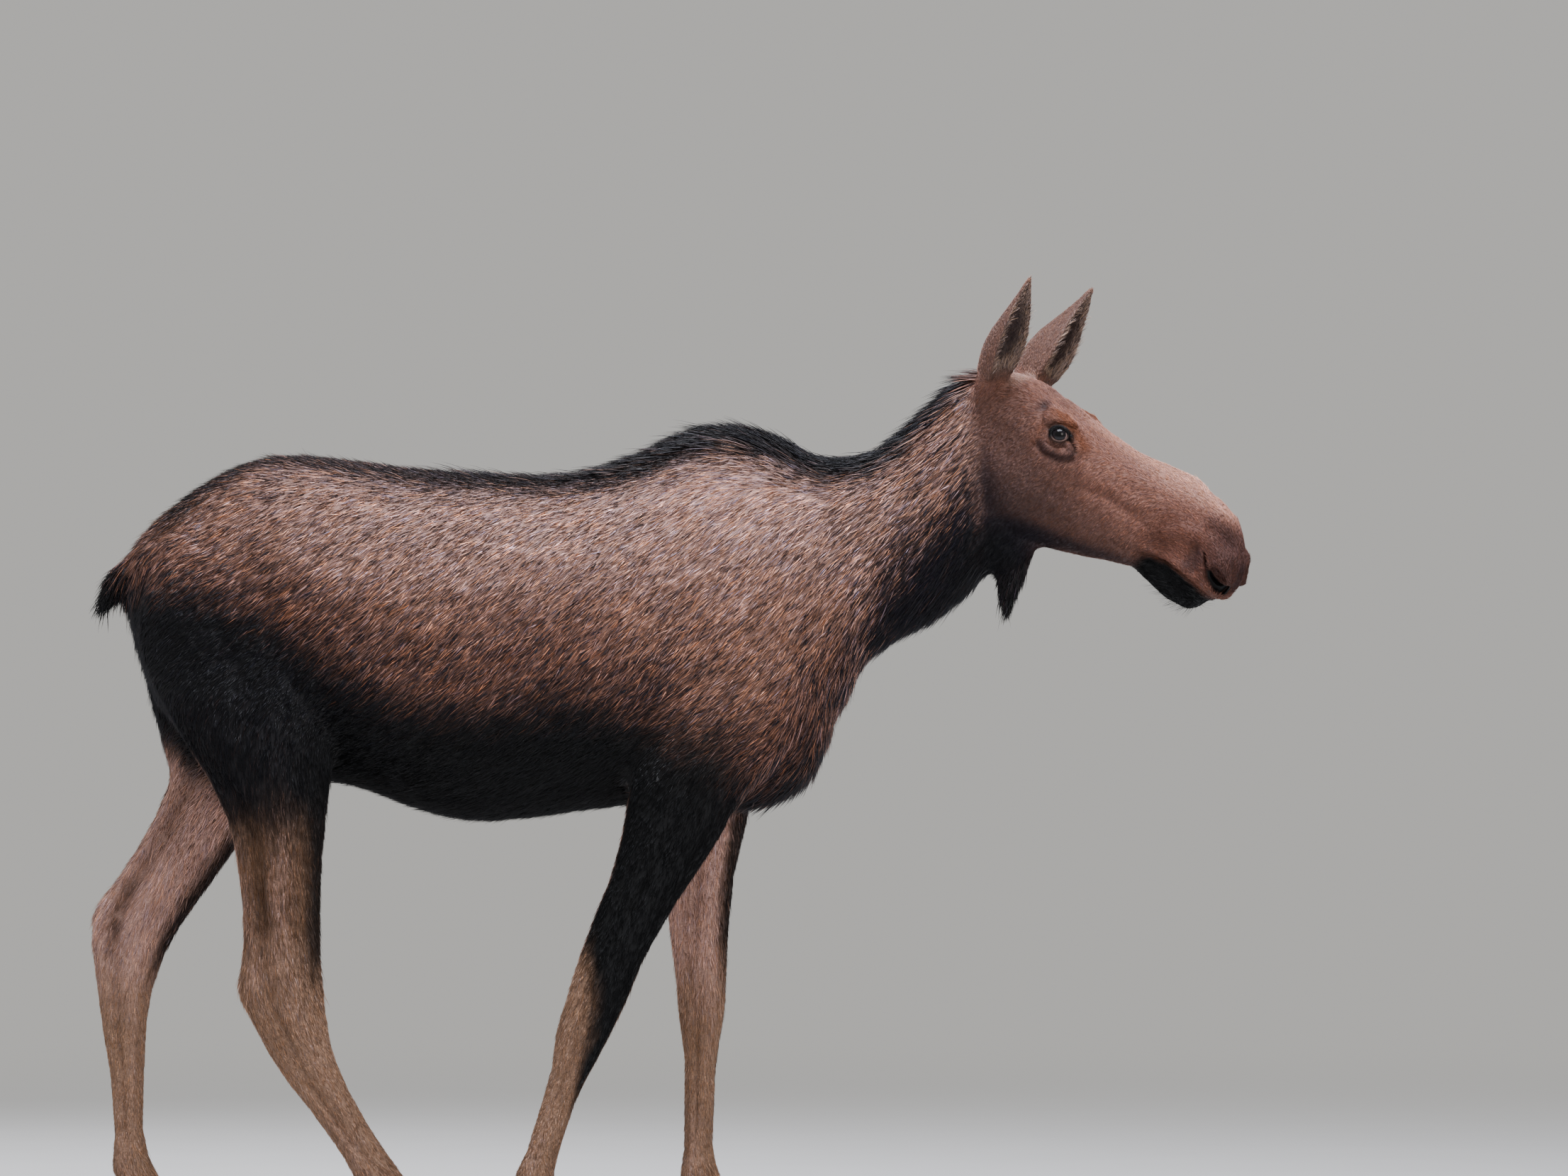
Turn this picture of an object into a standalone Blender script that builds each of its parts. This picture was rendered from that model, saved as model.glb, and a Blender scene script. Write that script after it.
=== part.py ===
"""A cow moose, walking, at life size. It faces +X, its left side is +Y, and it stands on z = 0.

The flesh is lofted through cross-sections taken at the places where an anatomist would measure it, joined
with the muscles that swell it, remeshed into one smooth skin, and then parted by thin cuts into head, neck,
trunk, tail, bell and the three lengths of each leg. Ears, eyes, hooves and dewclaws are solids of their own.
"""

import math

import bmesh
import bpy
import numpy as np
from mathutils import Matrix, Vector

RIGHT, LEFT = -1, 1
SIDE_NAMES = {RIGHT: "right", LEFT: "left"}

# How finely the flesh is made, and how far neighbouring pieces stay apart.
RING_POINTS = 28
STEPS_BETWEEN_SECTIONS = 4
VOXEL = 0.009
SMOOTHING_ROUNDS = 5
TORSO_SMOOTHING_ROUNDS = 40
TORSO_LOWEST = 1.02
TORSO_HINDMOST = -1.10
TORSO_FOREMOST = 0.50
TORSO_FADE = 0.10
KEPT_SHARE = 0.0213
GAP = 0.00032
SOCKET_GAP = 0.0005
SHARP_ANGLE = math.radians(40)

# The trunk, from the pin bones to the breast: (top x, z), (bottom x, z), half width, where it is widest on
# the way down, and how square it is above and below that.
TRUNK = [
    ((-1.105, 1.425), (-1.110, 1.330), 0.030, 0.50, 2.0, 2.0),
    ((-1.075, 1.468), (-1.090, 1.220), 0.082, 0.50, 2.2, 2.0),
    ((-1.020, 1.518), (-1.040, 1.100), 0.135, 0.45, 2.3, 2.0),
    ((-0.930, 1.580), (-0.950, 1.020), 0.188, 0.40, 2.4, 2.0),
    ((-0.830, 1.619), (-0.840, 0.985), 0.222, 0.40, 2.3, 2.0),
    ((-0.740, 1.623), (-0.740, 0.965), 0.236, 0.45, 2.2, 2.0),
    ((-0.630, 1.611), (-0.630, 0.944), 0.248, 0.50, 2.0, 2.2),
    ((-0.520, 1.598), (-0.520, 0.903), 0.258, 0.54, 1.9, 2.2),
    ((-0.410, 1.590), (-0.410, 0.880), 0.262, 0.56, 1.9, 2.2),
    ((-0.290, 1.582), (-0.290, 0.886), 0.256, 0.57, 1.8, 2.1),
    ((-0.170, 1.593), (-0.170, 0.903), 0.240, 0.58, 1.7, 2.1),
    ((-0.060, 1.630), (-0.060, 0.911), 0.222, 0.60, 1.6, 2.0),
    ((0.040, 1.674), (0.040, 0.906), 0.208, 0.60, 1.6, 2.0),
    ((0.120, 1.682), (0.120, 0.898), 0.198, 0.60, 1.6, 2.0),
    ((0.200, 1.660), (0.205, 0.915), 0.186, 0.60, 1.7, 2.0),
    ((0.265, 1.630), (0.275, 0.962), 0.168, 0.60, 1.8, 2.0),
    ((0.315, 1.614), (0.320, 1.060), 0.145, 0.58, 1.8, 2.0),
]
# The neck, from inside the breast to inside the skull, crest above and throat below.
NECK = [
    ((0.200, 1.590), (0.180, 1.060), 0.150, 0.55, 1.8, 2.0),
    ((0.320, 1.616), (0.322, 1.085), 0.148, 0.58, 1.8, 2.0),
    ((0.392, 1.628), (0.380, 1.190), 0.136, 0.56, 1.7, 2.0),
    ((0.448, 1.664), (0.450, 1.244), 0.122, 0.54, 1.7, 2.0),
    ((0.500, 1.710), (0.530, 1.286), 0.111, 0.52, 1.8, 2.0),
    ((0.545, 1.752), (0.602, 1.345), 0.102, 0.50, 1.9, 2.0),
    ((0.590, 1.786), (0.650, 1.400), 0.092, 0.48, 1.9, 2.0),
    ((0.640, 1.778), (0.700, 1.470), 0.078, 0.48, 2.0, 2.0),
]
NECK_BEND_START = 0.40
NECK_BEND = -0.034
TAIL = [
    ((-1.060, 1.440), (-1.075, 1.360), 0.032, 0.5, 2.0, 2.0),
    ((-1.108, 1.422), (-1.100, 1.352), 0.030, 0.5, 2.0, 2.0),
    ((-1.140, 1.388), (-1.118, 1.340), 0.026, 0.5, 2.0, 2.0),
    ((-1.158, 1.352), (-1.132, 1.330), 0.016, 0.5, 2.0, 2.0),
    ((-1.165, 1.332), (-1.152, 1.322), 0.007, 0.5, 2.0, 2.0),
]
# The bell, the tuft of skin and hair that hangs from the throat.
BELL = [
    ((0.732, 1.480), (0.630, 1.420), 0.034, 0.5, 2.0, 2.0),
    ((0.722, 1.420), (0.640, 1.375), 0.027, 0.5, 2.0, 2.0),
    ((0.708, 1.375), (0.645, 1.345), 0.021, 0.5, 2.0, 2.0),
    ((0.688, 1.330), (0.650, 1.318), 0.014, 0.5, 2.0, 2.0),
    ((0.672, 1.300), (0.658, 1.297), 0.007, 0.5, 2.0, 2.0),
]
BELL_SIDE = -0.048

# The head's own frame: its origin is the poll, +X runs down the face to the nose, +Z is the brow side.
POLL = (0.6635, -0.03, 1.7546)
HEAD_PITCH = math.radians(36)
HEAD_YAW = math.radians(-20)
# The head in that frame, from the poll to the nose: (brow side x, z), (jaw side x, z), and so on as above.
HEAD = [
    ((-0.060, -0.010), (-0.040, -0.150), 0.062, 0.50, 2.0, 2.0),
    ((-0.020, 0.028), (0.005, -0.190), 0.080, 0.42, 2.2, 2.0),
    ((0.035, 0.052), (0.070, -0.220), 0.094, 0.40, 2.3, 2.0),
    ((0.105, 0.060), (0.135, -0.236), 0.100, 0.36, 2.4, 1.9),
    ((0.170, 0.060), (0.200, -0.238), 0.101, 0.34, 2.4, 1.9),
    ((0.235, 0.057), (0.265, -0.208), 0.090, 0.36, 2.3, 1.9),
    ((0.300, 0.062), (0.330, -0.180), 0.075, 0.42, 2.2, 2.0),
    ((0.370, 0.078), (0.395, -0.150), 0.065, 0.48, 2.1, 2.1),
    ((0.440, 0.095), (0.455, -0.122), 0.064, 0.52, 2.1, 2.3),
    ((0.500, 0.098), (0.510, -0.106), 0.069, 0.55, 2.2, 2.4),
    ((0.546, 0.083), (0.562, -0.102), 0.074, 0.58, 2.3, 2.5),
    ((0.581, 0.046), (0.600, -0.092), 0.072, 0.58, 2.3, 2.5),
    ((0.613, 0.010), (0.622, -0.080), 0.059, 0.55, 2.2, 2.4),
    ((0.630, -0.018), (0.631, -0.060), 0.034, 0.50, 2.0, 2.0),
]
CHIN = [
    ((0.430, -0.095), (0.420, -0.130), 0.030, 0.50, 2.0, 2.0),
    ((0.480, -0.088), (0.472, -0.137), 0.042, 0.50, 2.0, 2.0),
    ((0.530, -0.080), (0.535, -0.142), 0.044, 0.50, 2.0, 2.0),
    ((0.572, -0.080), (0.578, -0.132), 0.038, 0.50, 2.0, 2.0),
    ((0.590, -0.085), (0.594, -0.112), 0.022, 0.50, 2.0, 2.0),
]

# Muscles and bones that swell the flesh on both sides: centre (x, |y|, z), radii, and pitch in degrees.
BODY_SWELLS = [
    ((0.105, 0.108, 1.330), (0.110, 0.070, 0.180), 14),
    ((0.195, 0.138, 1.180), (0.085, 0.060, 0.110), -20),
    ((0.010, 0.145, 1.150), (0.110, 0.060, 0.150), 30),
    ((-0.790, 0.140, 1.470), (0.110, 0.070, 0.080), 0),
    ((-0.910, 0.148, 1.290), (0.165, 0.086, 0.190), 10),
    ((-1.040, 0.066, 1.390), (0.056, 0.044, 0.070), 0),
    ((-0.800, 0.038, 0.985), (0.080, 0.050, 0.045), 0),
]
# The same in the head's frame: brow ridges, eye sockets, cheeks, cheekbones, nostril wings and lips.
HEAD_SWELLS = [
    ((0.158, 0.078, 0.030), (0.044, 0.032, 0.025), 4),
    ((0.190, 0.078, -0.020), (0.060, 0.030, 0.050), 0),
    ((0.120, 0.068, -0.130), (0.095, 0.036, 0.085), -10),
    ((0.300, 0.052, -0.060), (0.110, 0.024, 0.030), -10),
    ((0.576, 0.047, -0.020), (0.045, 0.032, 0.056), 20),
    ((0.603, 0.050, -0.034), (0.031, 0.020, 0.036), 10),
    ((0.536, 0.044, -0.062), (0.058, 0.034, 0.034), 10),
]
NOSTRIL = ((0.605, 0.064, -0.032), (0.026, 0.017, 0.015), 25)

# Each leg, from inside the body to inside the hooves: (front x, z), (rear x, z) of each section.
LEG_OUTLINES = {
    "fore_right": [
        ((0.235, 1.330), (0.010, 1.400)),
        ((0.285, 1.160), (-0.045, 1.200)),
        ((0.215, 1.010), (-0.083, 1.030)),
        ((0.132, 0.925), (-0.098, 0.935)),
        ((0.083, 0.840), (-0.110, 0.862)),
        ((0.010, 0.730), (-0.135, 0.770)),
        ((-0.055, 0.620), (-0.180, 0.657)),
        ((-0.092, 0.535), (-0.212, 0.562)),
        ((-0.127, 0.460), (-0.240, 0.468)),
        ((-0.163, 0.395), (-0.250, 0.395)),
        ((-0.200, 0.320), (-0.268, 0.330)),
        ((-0.236, 0.210), (-0.300, 0.225)),
        ((-0.245, 0.152), (-0.326, 0.160)),
        ((-0.224, 0.110), (-0.300, 0.085)),
        ((-0.190, 0.072), (-0.282, 0.046)),
        ((-0.180, 0.045), (-0.272, 0.025)),
    ],
    "fore_left": [
        ((0.235, 1.330), (0.010, 1.400)),
        ((0.275, 1.160), (-0.045, 1.200)),
        ((0.212, 1.020), (-0.072, 1.030)),
        ((0.158, 0.935), (-0.050, 0.940)),
        ((0.138, 0.855), (-0.034, 0.860)),
        ((0.118, 0.765), (-0.026, 0.770)),
        ((0.106, 0.655), (-0.018, 0.660)),
        ((0.101, 0.550), (-0.004, 0.550)),
        ((0.096, 0.480), (0.002, 0.480)),
        ((0.083, 0.405), (0.013, 0.405)),
        ((0.077, 0.320), (0.014, 0.320)),
        ((0.076, 0.210), (0.012, 0.215)),
        ((0.090, 0.158), (0.004, 0.152)),
        ((0.122, 0.110), (0.042, 0.082)),
        ((0.158, 0.072), (0.064, 0.046)),
        ((0.168, 0.045), (0.074, 0.025)),
    ],
    "hind_right": [
        ((-0.760, 1.470), (-1.030, 1.460)),
        ((-0.725, 1.300), (-1.083, 1.300)),
        ((-0.692, 1.160), (-1.066, 1.180)),
        ((-0.682, 1.040), (-1.012, 1.080)),
        ((-0.688, 0.962), (-0.950, 0.985)),
        ((-0.700, 0.885), (-0.903, 0.890)),
        ((-0.708, 0.795), (-0.883, 0.800)),
        ((-0.711, 0.700), (-0.873, 0.705)),
        ((-0.711, 0.615), (-0.874, 0.605)),
        ((-0.706, 0.555), (-0.884, 0.545)),
        ((-0.700, 0.490), (-0.852, 0.478)),
        ((-0.685, 0.415), (-0.800, 0.385)),
        ((-0.648, 0.330), (-0.730, 0.295)),
        ((-0.595, 0.240), (-0.668, 0.206)),
        ((-0.552, 0.180), (-0.632, 0.138)),
        ((-0.515, 0.122), (-0.588, 0.078)),
        ((-0.478, 0.072), (-0.568, 0.044)),
        ((-0.470, 0.045), (-0.560, 0.025)),
    ],
    "hind_left": [
        ((-0.760, 1.470), (-1.030, 1.460)),
        ((-0.730, 1.300), (-1.090, 1.290)),
        ((-0.728, 1.160), (-1.082, 1.160)),
        ((-0.745, 1.040), (-1.048, 1.040)),
        ((-0.800, 0.938), (-1.032, 0.972)),
        ((-0.865, 0.862), (-1.052, 0.908)),
        ((-0.918, 0.788), (-1.092, 0.834)),
        ((-0.968, 0.718), (-1.138, 0.764)),
        ((-1.012, 0.655), (-1.182, 0.704)),
        ((-1.040, 0.600), (-1.190, 0.640)),
        ((-1.064, 0.535), (-1.178, 0.545)),
        ((-1.075, 0.455), (-1.166, 0.455)),
        ((-1.080, 0.355), (-1.150, 0.355)),
        ((-1.080, 0.245), (-1.142, 0.245)),
        ((-1.062, 0.184), (-1.144, 0.170)),
        ((-1.030, 0.126), (-1.100, 0.090)),
        ((-0.986, 0.072), (-1.078, 0.044)),
        ((-0.978, 0.045), (-1.070, 0.025)),
    ],
}
# What those sections share on both sides: how far out the middle lies, half width, squareness front and rear.
LEG_BREADTHS = {
    "fore": [
        (0.130, 0.045, 2.0, 2.0),
        (0.142, 0.068, 2.0, 2.0),
        (0.148, 0.070, 2.0, 2.0),
        (0.147, 0.066, 2.0, 2.0),
        (0.144, 0.060, 2.1, 2.1),
        (0.140, 0.052, 2.1, 2.1),
        (0.135, 0.046, 2.2, 2.2),
        (0.131, 0.045, 2.3, 2.3),
        (0.128, 0.045, 2.4, 2.3),
        (0.125, 0.037, 2.3, 2.3),
        (0.122, 0.031, 2.3, 2.3),
        (0.118, 0.031, 2.3, 2.3),
        (0.116, 0.038, 2.3, 2.3),
        (0.115, 0.036, 2.3, 2.3),
        (0.115, 0.043, 2.5, 2.3),
        (0.115, 0.042, 2.5, 2.3),
    ],
    "hind": [
        (0.120, 0.050, 2.0, 2.0),
        (0.135, 0.078, 2.0, 2.0),
        (0.142, 0.088, 2.0, 2.1),
        (0.147, 0.087, 2.0, 2.1),
        (0.148, 0.077, 2.0, 2.1),
        (0.146, 0.064, 2.1, 2.1),
        (0.142, 0.052, 2.1, 2.0),
        (0.138, 0.046, 2.2, 1.8),
        (0.135, 0.044, 2.3, 1.8),
        (0.132, 0.045, 2.3, 1.9),
        (0.130, 0.042, 2.3, 2.0),
        (0.128, 0.036, 2.3, 2.2),
        (0.126, 0.032, 2.3, 2.3),
        (0.123, 0.032, 2.3, 2.3),
        (0.121, 0.038, 2.3, 2.3),
        (0.120, 0.036, 2.3, 2.3),
        (0.120, 0.042, 2.5, 2.3),
        (0.120, 0.041, 2.5, 2.3),
    ],
}
LEG_SIDES = {"fore_right": RIGHT, "fore_left": LEFT, "hind_right": RIGHT, "hind_left": LEFT}

EYE_RADIUS = 0.0195
EYE_SEAT = (0.175, 0.091, 0.008)

# The ears, each a leaf rolled round its own axis: where it stands in the head's frame, how far it turns
# outwards, how far it bows forwards, and how much deeper it is than the profile. From root to tip: the
# fraction of the way up, half width, depth, how many degrees the leaf wraps round to each side, and how
# far it is hollowed.
EAR_ROOTS = {RIGHT: (0.000, 0.078, -0.015), LEFT: (0.022, 0.078, 0.000)}
EAR_TIPS = {RIGHT: (-0.042, 0.160, 0.239), LEFT: (-0.013, 0.160, 0.243)}
EAR_TURNS = {RIGHT: math.radians(12), LEFT: math.radians(-14)}
EAR_BOWS = {RIGHT: 0.012, LEFT: 0.020}
EAR_DEPTHS = {RIGHT: 0.87, LEFT: 1.2}
EAR_PROFILE = [
    (-0.14, 0.026, 0.036, 100, 0.0),
    (0.00, 0.030, 0.043, 100, 0.0),
    (0.10, 0.034, 0.050, 99, 0.0),
    (0.20, 0.040, 0.058, 98, 0.0),
    (0.28, 0.044, 0.063, 97, 0.55),
    (0.38, 0.048, 0.064, 95, 0.95),
    (0.50, 0.047, 0.058, 92, 1.0),
    (0.62, 0.041, 0.046, 88, 1.0),
    (0.74, 0.032, 0.032, 86, 1.0),
    (0.86, 0.021, 0.018, 86, 0.9),
    (0.95, 0.012, 0.009, 90, 0.4),
    (1.00, 0.004, 0.006, 100, 0.0),
]
EAR_THICKNESS = 0.0075
EAR_POINTS = 18
EAR_STUMP_TOP = 0.20
EAR_CUT = 0.14

# Each foot: where its heel stands, and the horn of its two hooves and two dewclaws.
HEELS = {
    "fore_right": (-0.292, -0.115),
    "fore_left": (0.054, 0.115),
    "hind_right": (-0.580, -0.120),
    "hind_left": (-1.088, 0.120),
}
HORN_POINTS = 10
# How far up each ring of a horn lies, and how much it draws in.
HORN_RINGS = ((0.0, 0.05), (0.12, 0.0), (0.55, 0.02), (1.0, 0.08))
HORN_FRONT_SLOPE = 0.34
HORN_HEEL_SLOPE = 0.05
HORN_TOE_TAPER = 0.42
# Length, width, height at the toe, and the heel's height as a share of it.
HOOF = (0.136, 0.050, 0.066, 0.62)
HOOF_SPREAD = 0.0275
HOOF_SPLAY = math.radians(4)
DEWCLAW = (0.046, 0.026, 0.024, 0.8)
DEWCLAW_PLACE = (-0.022, 0.024, 0.098)
DEWCLAW_LEAN = math.radians(58)

# A cut is its middle (x, y, z), the way it faces, and its half length and half width.
BODY_CUTS = [
    ((0.322, 0.0, 1.360), (1.0, 0.0, 0.0), 0.45, 0.30),
    ((0.620, -0.020, 1.590), (1.0, -0.17, 0.06), 0.30, 0.20),
    ((0.690, -0.048, 1.392), (0.62, 0.0, -0.80), 0.075, 0.050),
    ((-1.112, 0.0, 1.380), (-1.0, 0.0, -0.05), 0.10, 0.08),
]
LEG_CUTS = [
    ((0.030, -0.160, 0.953), (0.06, 0.46, 1.0), 0.20, 0.120),
    ((-0.183, -0.129, 0.462), (0.42, 0.0, 1.0), 0.10, 0.080),
    ((-0.275, -0.117, 0.186), (0.26, 0.0, 1.0), 0.07, 0.070),
    ((0.055, 0.160, 0.953), (0.0, -0.46, 1.0), 0.20, 0.120),
    ((0.048, 0.129, 0.474), (0.04, 0.0, 1.0), 0.10, 0.080),
    ((0.044, 0.117, 0.184), (0.05, 0.0, 1.0), 0.07, 0.070),
    ((-0.865, -0.175, 1.051), (0.31, 1.20, 1.0), 0.27, 0.205),
    ((-0.790, -0.131, 0.510), (-0.10, 0.0, 1.0), 0.13, 0.080),
    ((-0.615, -0.122, 0.188), (-0.62, 0.0, 1.0), 0.08, 0.070),
    ((-0.865, 0.175, 1.051), (0.31, -1.20, 1.0), 0.27, 0.205),
    ((-1.118, 0.131, 0.592), (0.30, 0.0, 1.0), 0.13, 0.080),
    ((-1.108, 0.122, 0.208), (0.05, 0.0, 1.0), 0.08, 0.070),
]
# Roughly where the middle of each piece of flesh lies, which tells the pieces apart once they are cut, and
# the colour of its coat.
FLESH_PIECES = {
    "trunk": ((-0.30, 0.0, 1.30), "brown"),
    "neck": ((0.47, 0.0, 1.45), "brown"),
    "head": ((0.85, -0.10, 1.58), "tawny"),
    "bell": ((0.67, -0.05, 1.35), "dark"),
    "tail": ((-1.13, 0.0, 1.36), "dark"),
    "fore_right_forearm": ((-0.05, -0.14, 0.70), "dark"),
    "fore_right_cannon": ((-0.23, -0.12, 0.32), "tan"),
    "fore_right_pastern": ((-0.27, -0.12, 0.12), "tan"),
    "fore_left_forearm": ((0.05, 0.14, 0.70), "dark"),
    "fore_left_cannon": ((0.045, 0.12, 0.32), "tan"),
    "fore_left_pastern": ((0.07, 0.12, 0.12), "tan"),
    "hind_right_thigh": ((-0.82, -0.15, 0.85), "dark"),
    "hind_right_cannon": ((-0.70, -0.13, 0.33), "tan"),
    "hind_right_pastern": ((-0.57, -0.12, 0.12), "tan"),
    "hind_left_thigh": ((-1.00, 0.15, 0.85), "dark"),
    "hind_left_cannon": ((-1.11, 0.13, 0.40), "tan"),
    "hind_left_pastern": ((-1.06, 0.12, 0.12), "tan"),
}
# Colour and roughness of each finish.
FINISHES = {
    "brown": ((0.165, 0.105, 0.078), 0.75),
    "tawny": ((0.190, 0.098, 0.060), 0.75),
    "dark": ((0.022, 0.018, 0.019), 0.70),
    "tan": ((0.200, 0.130, 0.095), 0.80),
    "horn": ((0.018, 0.015, 0.013), 0.40),
    "eye": ((0.010, 0.007, 0.005), 0.05),
}


def clear_scene():
    for old in list(bpy.data.objects):
        bpy.data.objects.remove(old, do_unlink=True)


def finish(name):
    """The material of this name, made when it is first asked for."""
    if name in bpy.data.materials:
        return bpy.data.materials[name]
    colour, roughness = FINISHES[name]
    made = bpy.data.materials.new(name)
    made.use_nodes = True
    shader = made.node_tree.nodes["Principled BSDF"]
    shader.inputs["Base Color"].default_value = (*colour, 1.0)
    shader.inputs["Roughness"].default_value = roughness
    made.diffuse_color = (*colour, 1.0)
    return made


def head_frame():
    turn = Matrix.Rotation(HEAD_YAW, 4, "Z") @ Matrix.Rotation(HEAD_PITCH, 4, "Y")
    return Matrix.Translation(POLL) @ turn


# Making and cutting solids


def object_of(shape, name, finish_name=None):
    """Turns a bmesh into an object of this name."""
    mesh = bpy.data.meshes.new(name)
    shape.to_mesh(mesh)
    shape.free()
    made = bpy.data.objects.new(name, mesh)
    bpy.context.scene.collection.objects.link(made)
    if finish_name:
        mesh.materials.append(finish(finish_name))
    return made


def apply_modifiers(target):
    """Makes what the object's modifiers give its own mesh."""
    bpy.context.view_layer.update()
    graph = bpy.context.evaluated_depsgraph_get()
    mesh = bpy.data.meshes.new_from_object(target.evaluated_get(graph))
    target.modifiers.clear()
    target.data = mesh


def cut_away(target, cutter):
    """Takes the cutter's volume out of the target for good, and removes the cutter."""
    boolean = target.modifiers.new("cut", "BOOLEAN")
    boolean.operation = "DIFFERENCE"
    boolean.solver = "EXACT"
    boolean.object = cutter
    apply_modifiers(target)
    bpy.data.objects.remove(cutter, do_unlink=True)


def socket_for(source):
    """A copy of a solid, larger by the gap all round, to cut its seat with."""
    shape = bmesh.new()
    shape.from_mesh(source.data)
    shape.normal_update()
    for vertex in shape.verts:
        vertex.co += vertex.normal * SOCKET_GAP * vertex.calc_shell_factor()
    return object_of(shape, "socket")


def add_loft(shape, rings, place):
    """Bridges rings of points into one closed form inside the bmesh."""
    loops = [[shape.verts.new(place @ point) for point in ring] for ring in rings]
    count = len(rings[0])
    faces = [shape.faces.new(loops[0][::-1]), shape.faces.new(loops[-1])]
    for near, far in zip(loops, loops[1:]):
        for index in range(count):
            following = (index + 1) % count
            faces.append(shape.faces.new((near[index], near[following], far[following], far[index])))
    bmesh.ops.recalc_face_normals(shape, faces=faces)


def add_swell(shape, swell, side, place):
    """An egg of muscle or bone on one side of the body."""
    (x, y, z), radii, pitch = swell
    turn = Matrix.Rotation(math.radians(pitch), 4, "Y")
    matrix = place @ Matrix.Translation((x, side * y, z)) @ turn @ Matrix.Diagonal((*radii, 1.0))
    bmesh.ops.create_icosphere(shape, subdivisions=2, radius=1.0, matrix=matrix)


# Cross-sections


def flat_rows(sections, side_of):
    """Each section as one row of numbers, with the y of its middle put in after its two points."""
    rows = []
    for (first_x, first_z), (second_x, second_z), *rest in sections:
        side = side_of((first_x + second_x) / 2)
        rows.append((first_x, first_z, second_x, second_z, side, *rest))
    return np.array(rows)


def even_rows(rows):
    """The rows with more between each two, on a smooth curve through all of them."""
    padded = np.vstack([2 * rows[0] - rows[1], rows, 2 * rows[-1] - rows[-2]])
    smooth = []
    for index in range(len(rows) - 1):
        before, start, end, after = padded[index : index + 4]
        for step in range(STEPS_BETWEEN_SECTIONS):
            t = step / STEPS_BETWEEN_SECTIONS
            smooth.append(
                (2 * t**3 - 3 * t**2 + 1) * start
                + (t**3 - 2 * t**2 + t) * (end - before) / 2
                + (3 * t**2 - 2 * t**3) * end
                + (t**3 - t**2) * (after - start) / 2
            )
    smooth.append(rows[-1])
    return smooth


def ring_points(row):
    """Points round one section: two half ovals that meet where the section is widest."""
    first_x, first_z, second_x, second_z, side, half_width, widest, square_first, square_second = row
    first = Vector((first_x, side, first_z))
    second = Vector((second_x, side, second_z))
    middle = first.lerp(second, widest)
    points = []
    for index in range(RING_POINTS):
        angle = 2 * math.pi * index / RING_POINTS
        along, across = math.cos(angle), math.sin(angle)
        end, squareness = (first, square_first) if along > 0 else (second, square_second)
        reach = abs(along) ** (2 / squareness)
        sideways = math.copysign(abs(across) ** (2 / squareness), across)
        points.append(middle + (end - middle) * reach + Vector((0, half_width * sideways, 0)))
    return points


def add_sections(shape, rows, place):
    add_loft(shape, [ring_points(row) for row in even_rows(rows)], place)


def neck_side(x):
    """How far the neck has bent to the right at this x."""
    share = max(0.0, (x - NECK_BEND_START) / (POLL[0] - NECK_BEND_START))
    return NECK_BEND * share**2


def leg_rows(leg):
    """A leg's outline and breadths, put together."""
    rows = []
    kind = leg.split("_")[0]
    for (front, rear), breadth in zip(LEG_OUTLINES[leg], LEG_BREADTHS[kind]):
        out, half_width, square_front, square_rear = breadth
        side = LEG_SIDES[leg] * out
        rows.append((*front, *rear, side, half_width, 0.5, square_front, square_rear))
    return np.array(rows)


# Flesh


def flesh_body():
    """All the flesh as one remeshed, smoothed and thinned skin."""
    shape = bmesh.new()
    here = Matrix.Identity(4)
    head = head_frame()
    for sections in (TRUNK, TAIL):
        add_sections(shape, flat_rows(sections, lambda x: 0.0), here)
    add_sections(shape, flat_rows(NECK, neck_side), here)
    add_sections(shape, flat_rows(BELL, lambda x: BELL_SIDE), here)
    for sections in (HEAD, CHIN):
        add_sections(shape, flat_rows(sections, lambda x: 0.0), head)
    for leg in LEG_OUTLINES:
        add_sections(shape, leg_rows(leg), here)
    for side in (RIGHT, LEFT):
        for swell in BODY_SWELLS:
            add_swell(shape, swell, side, here)
        for swell in HEAD_SWELLS:
            add_swell(shape, swell, side, head)
        add_loft(shape, ear_rings(side, EAR_STUMP_TOP), head)
    body = object_of(shape, "flesh")
    remesh = body.modifiers.new("one skin", "REMESH")
    remesh.mode = "VOXEL"
    remesh.voxel_size = VOXEL
    apply_modifiers(body)
    smooth_flesh(body)
    thin = body.modifiers.new("thin", "DECIMATE")
    thin.ratio = KEPT_SHARE
    apply_modifiers(body)
    return body


def smooth_flesh(body):
    """Relaxes all the flesh a little, and the broad trunk and neck more."""
    torso = body.vertex_groups.new(name="torso")
    for vertex in body.data.vertices:
        x, _, z = vertex.co
        inside = min(z - TORSO_LOWEST, TORSO_FOREMOST - x, x - TORSO_HINDMOST)
        weight = min(1.0, inside / TORSO_FADE)
        if weight > 0:
            torso.add([vertex.index], weight, "REPLACE")
    relax = body.modifiers.new("relax all", "SMOOTH")
    relax.iterations = SMOOTHING_ROUNDS
    relax = body.modifiers.new("relax torso", "SMOOTH")
    relax.iterations = TORSO_SMOOTHING_ROUNDS
    relax.vertex_group = "torso"
    apply_modifiers(body)


def hollow_nostril(side, body):
    shape = bmesh.new()
    add_swell(shape, NOSTRIL, side, head_frame())
    cut_away(body, object_of(shape, "nostril"))


def add_slab(shape, middle, facing, half_length, half_width):
    """A thin blade, square to the way it faces, that parts the flesh where it passes."""
    normal = Vector(facing).normalized()
    along = Vector((0, 1, 0)).cross(normal).normalized()
    turn = Matrix((along, normal.cross(along), normal)).transposed().to_4x4()
    size = Matrix.Diagonal((2 * half_length, 2 * half_width, GAP, 1.0))
    bmesh.ops.create_cube(shape, size=1.0, matrix=Matrix.Translation(middle) @ turn @ size)


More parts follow.
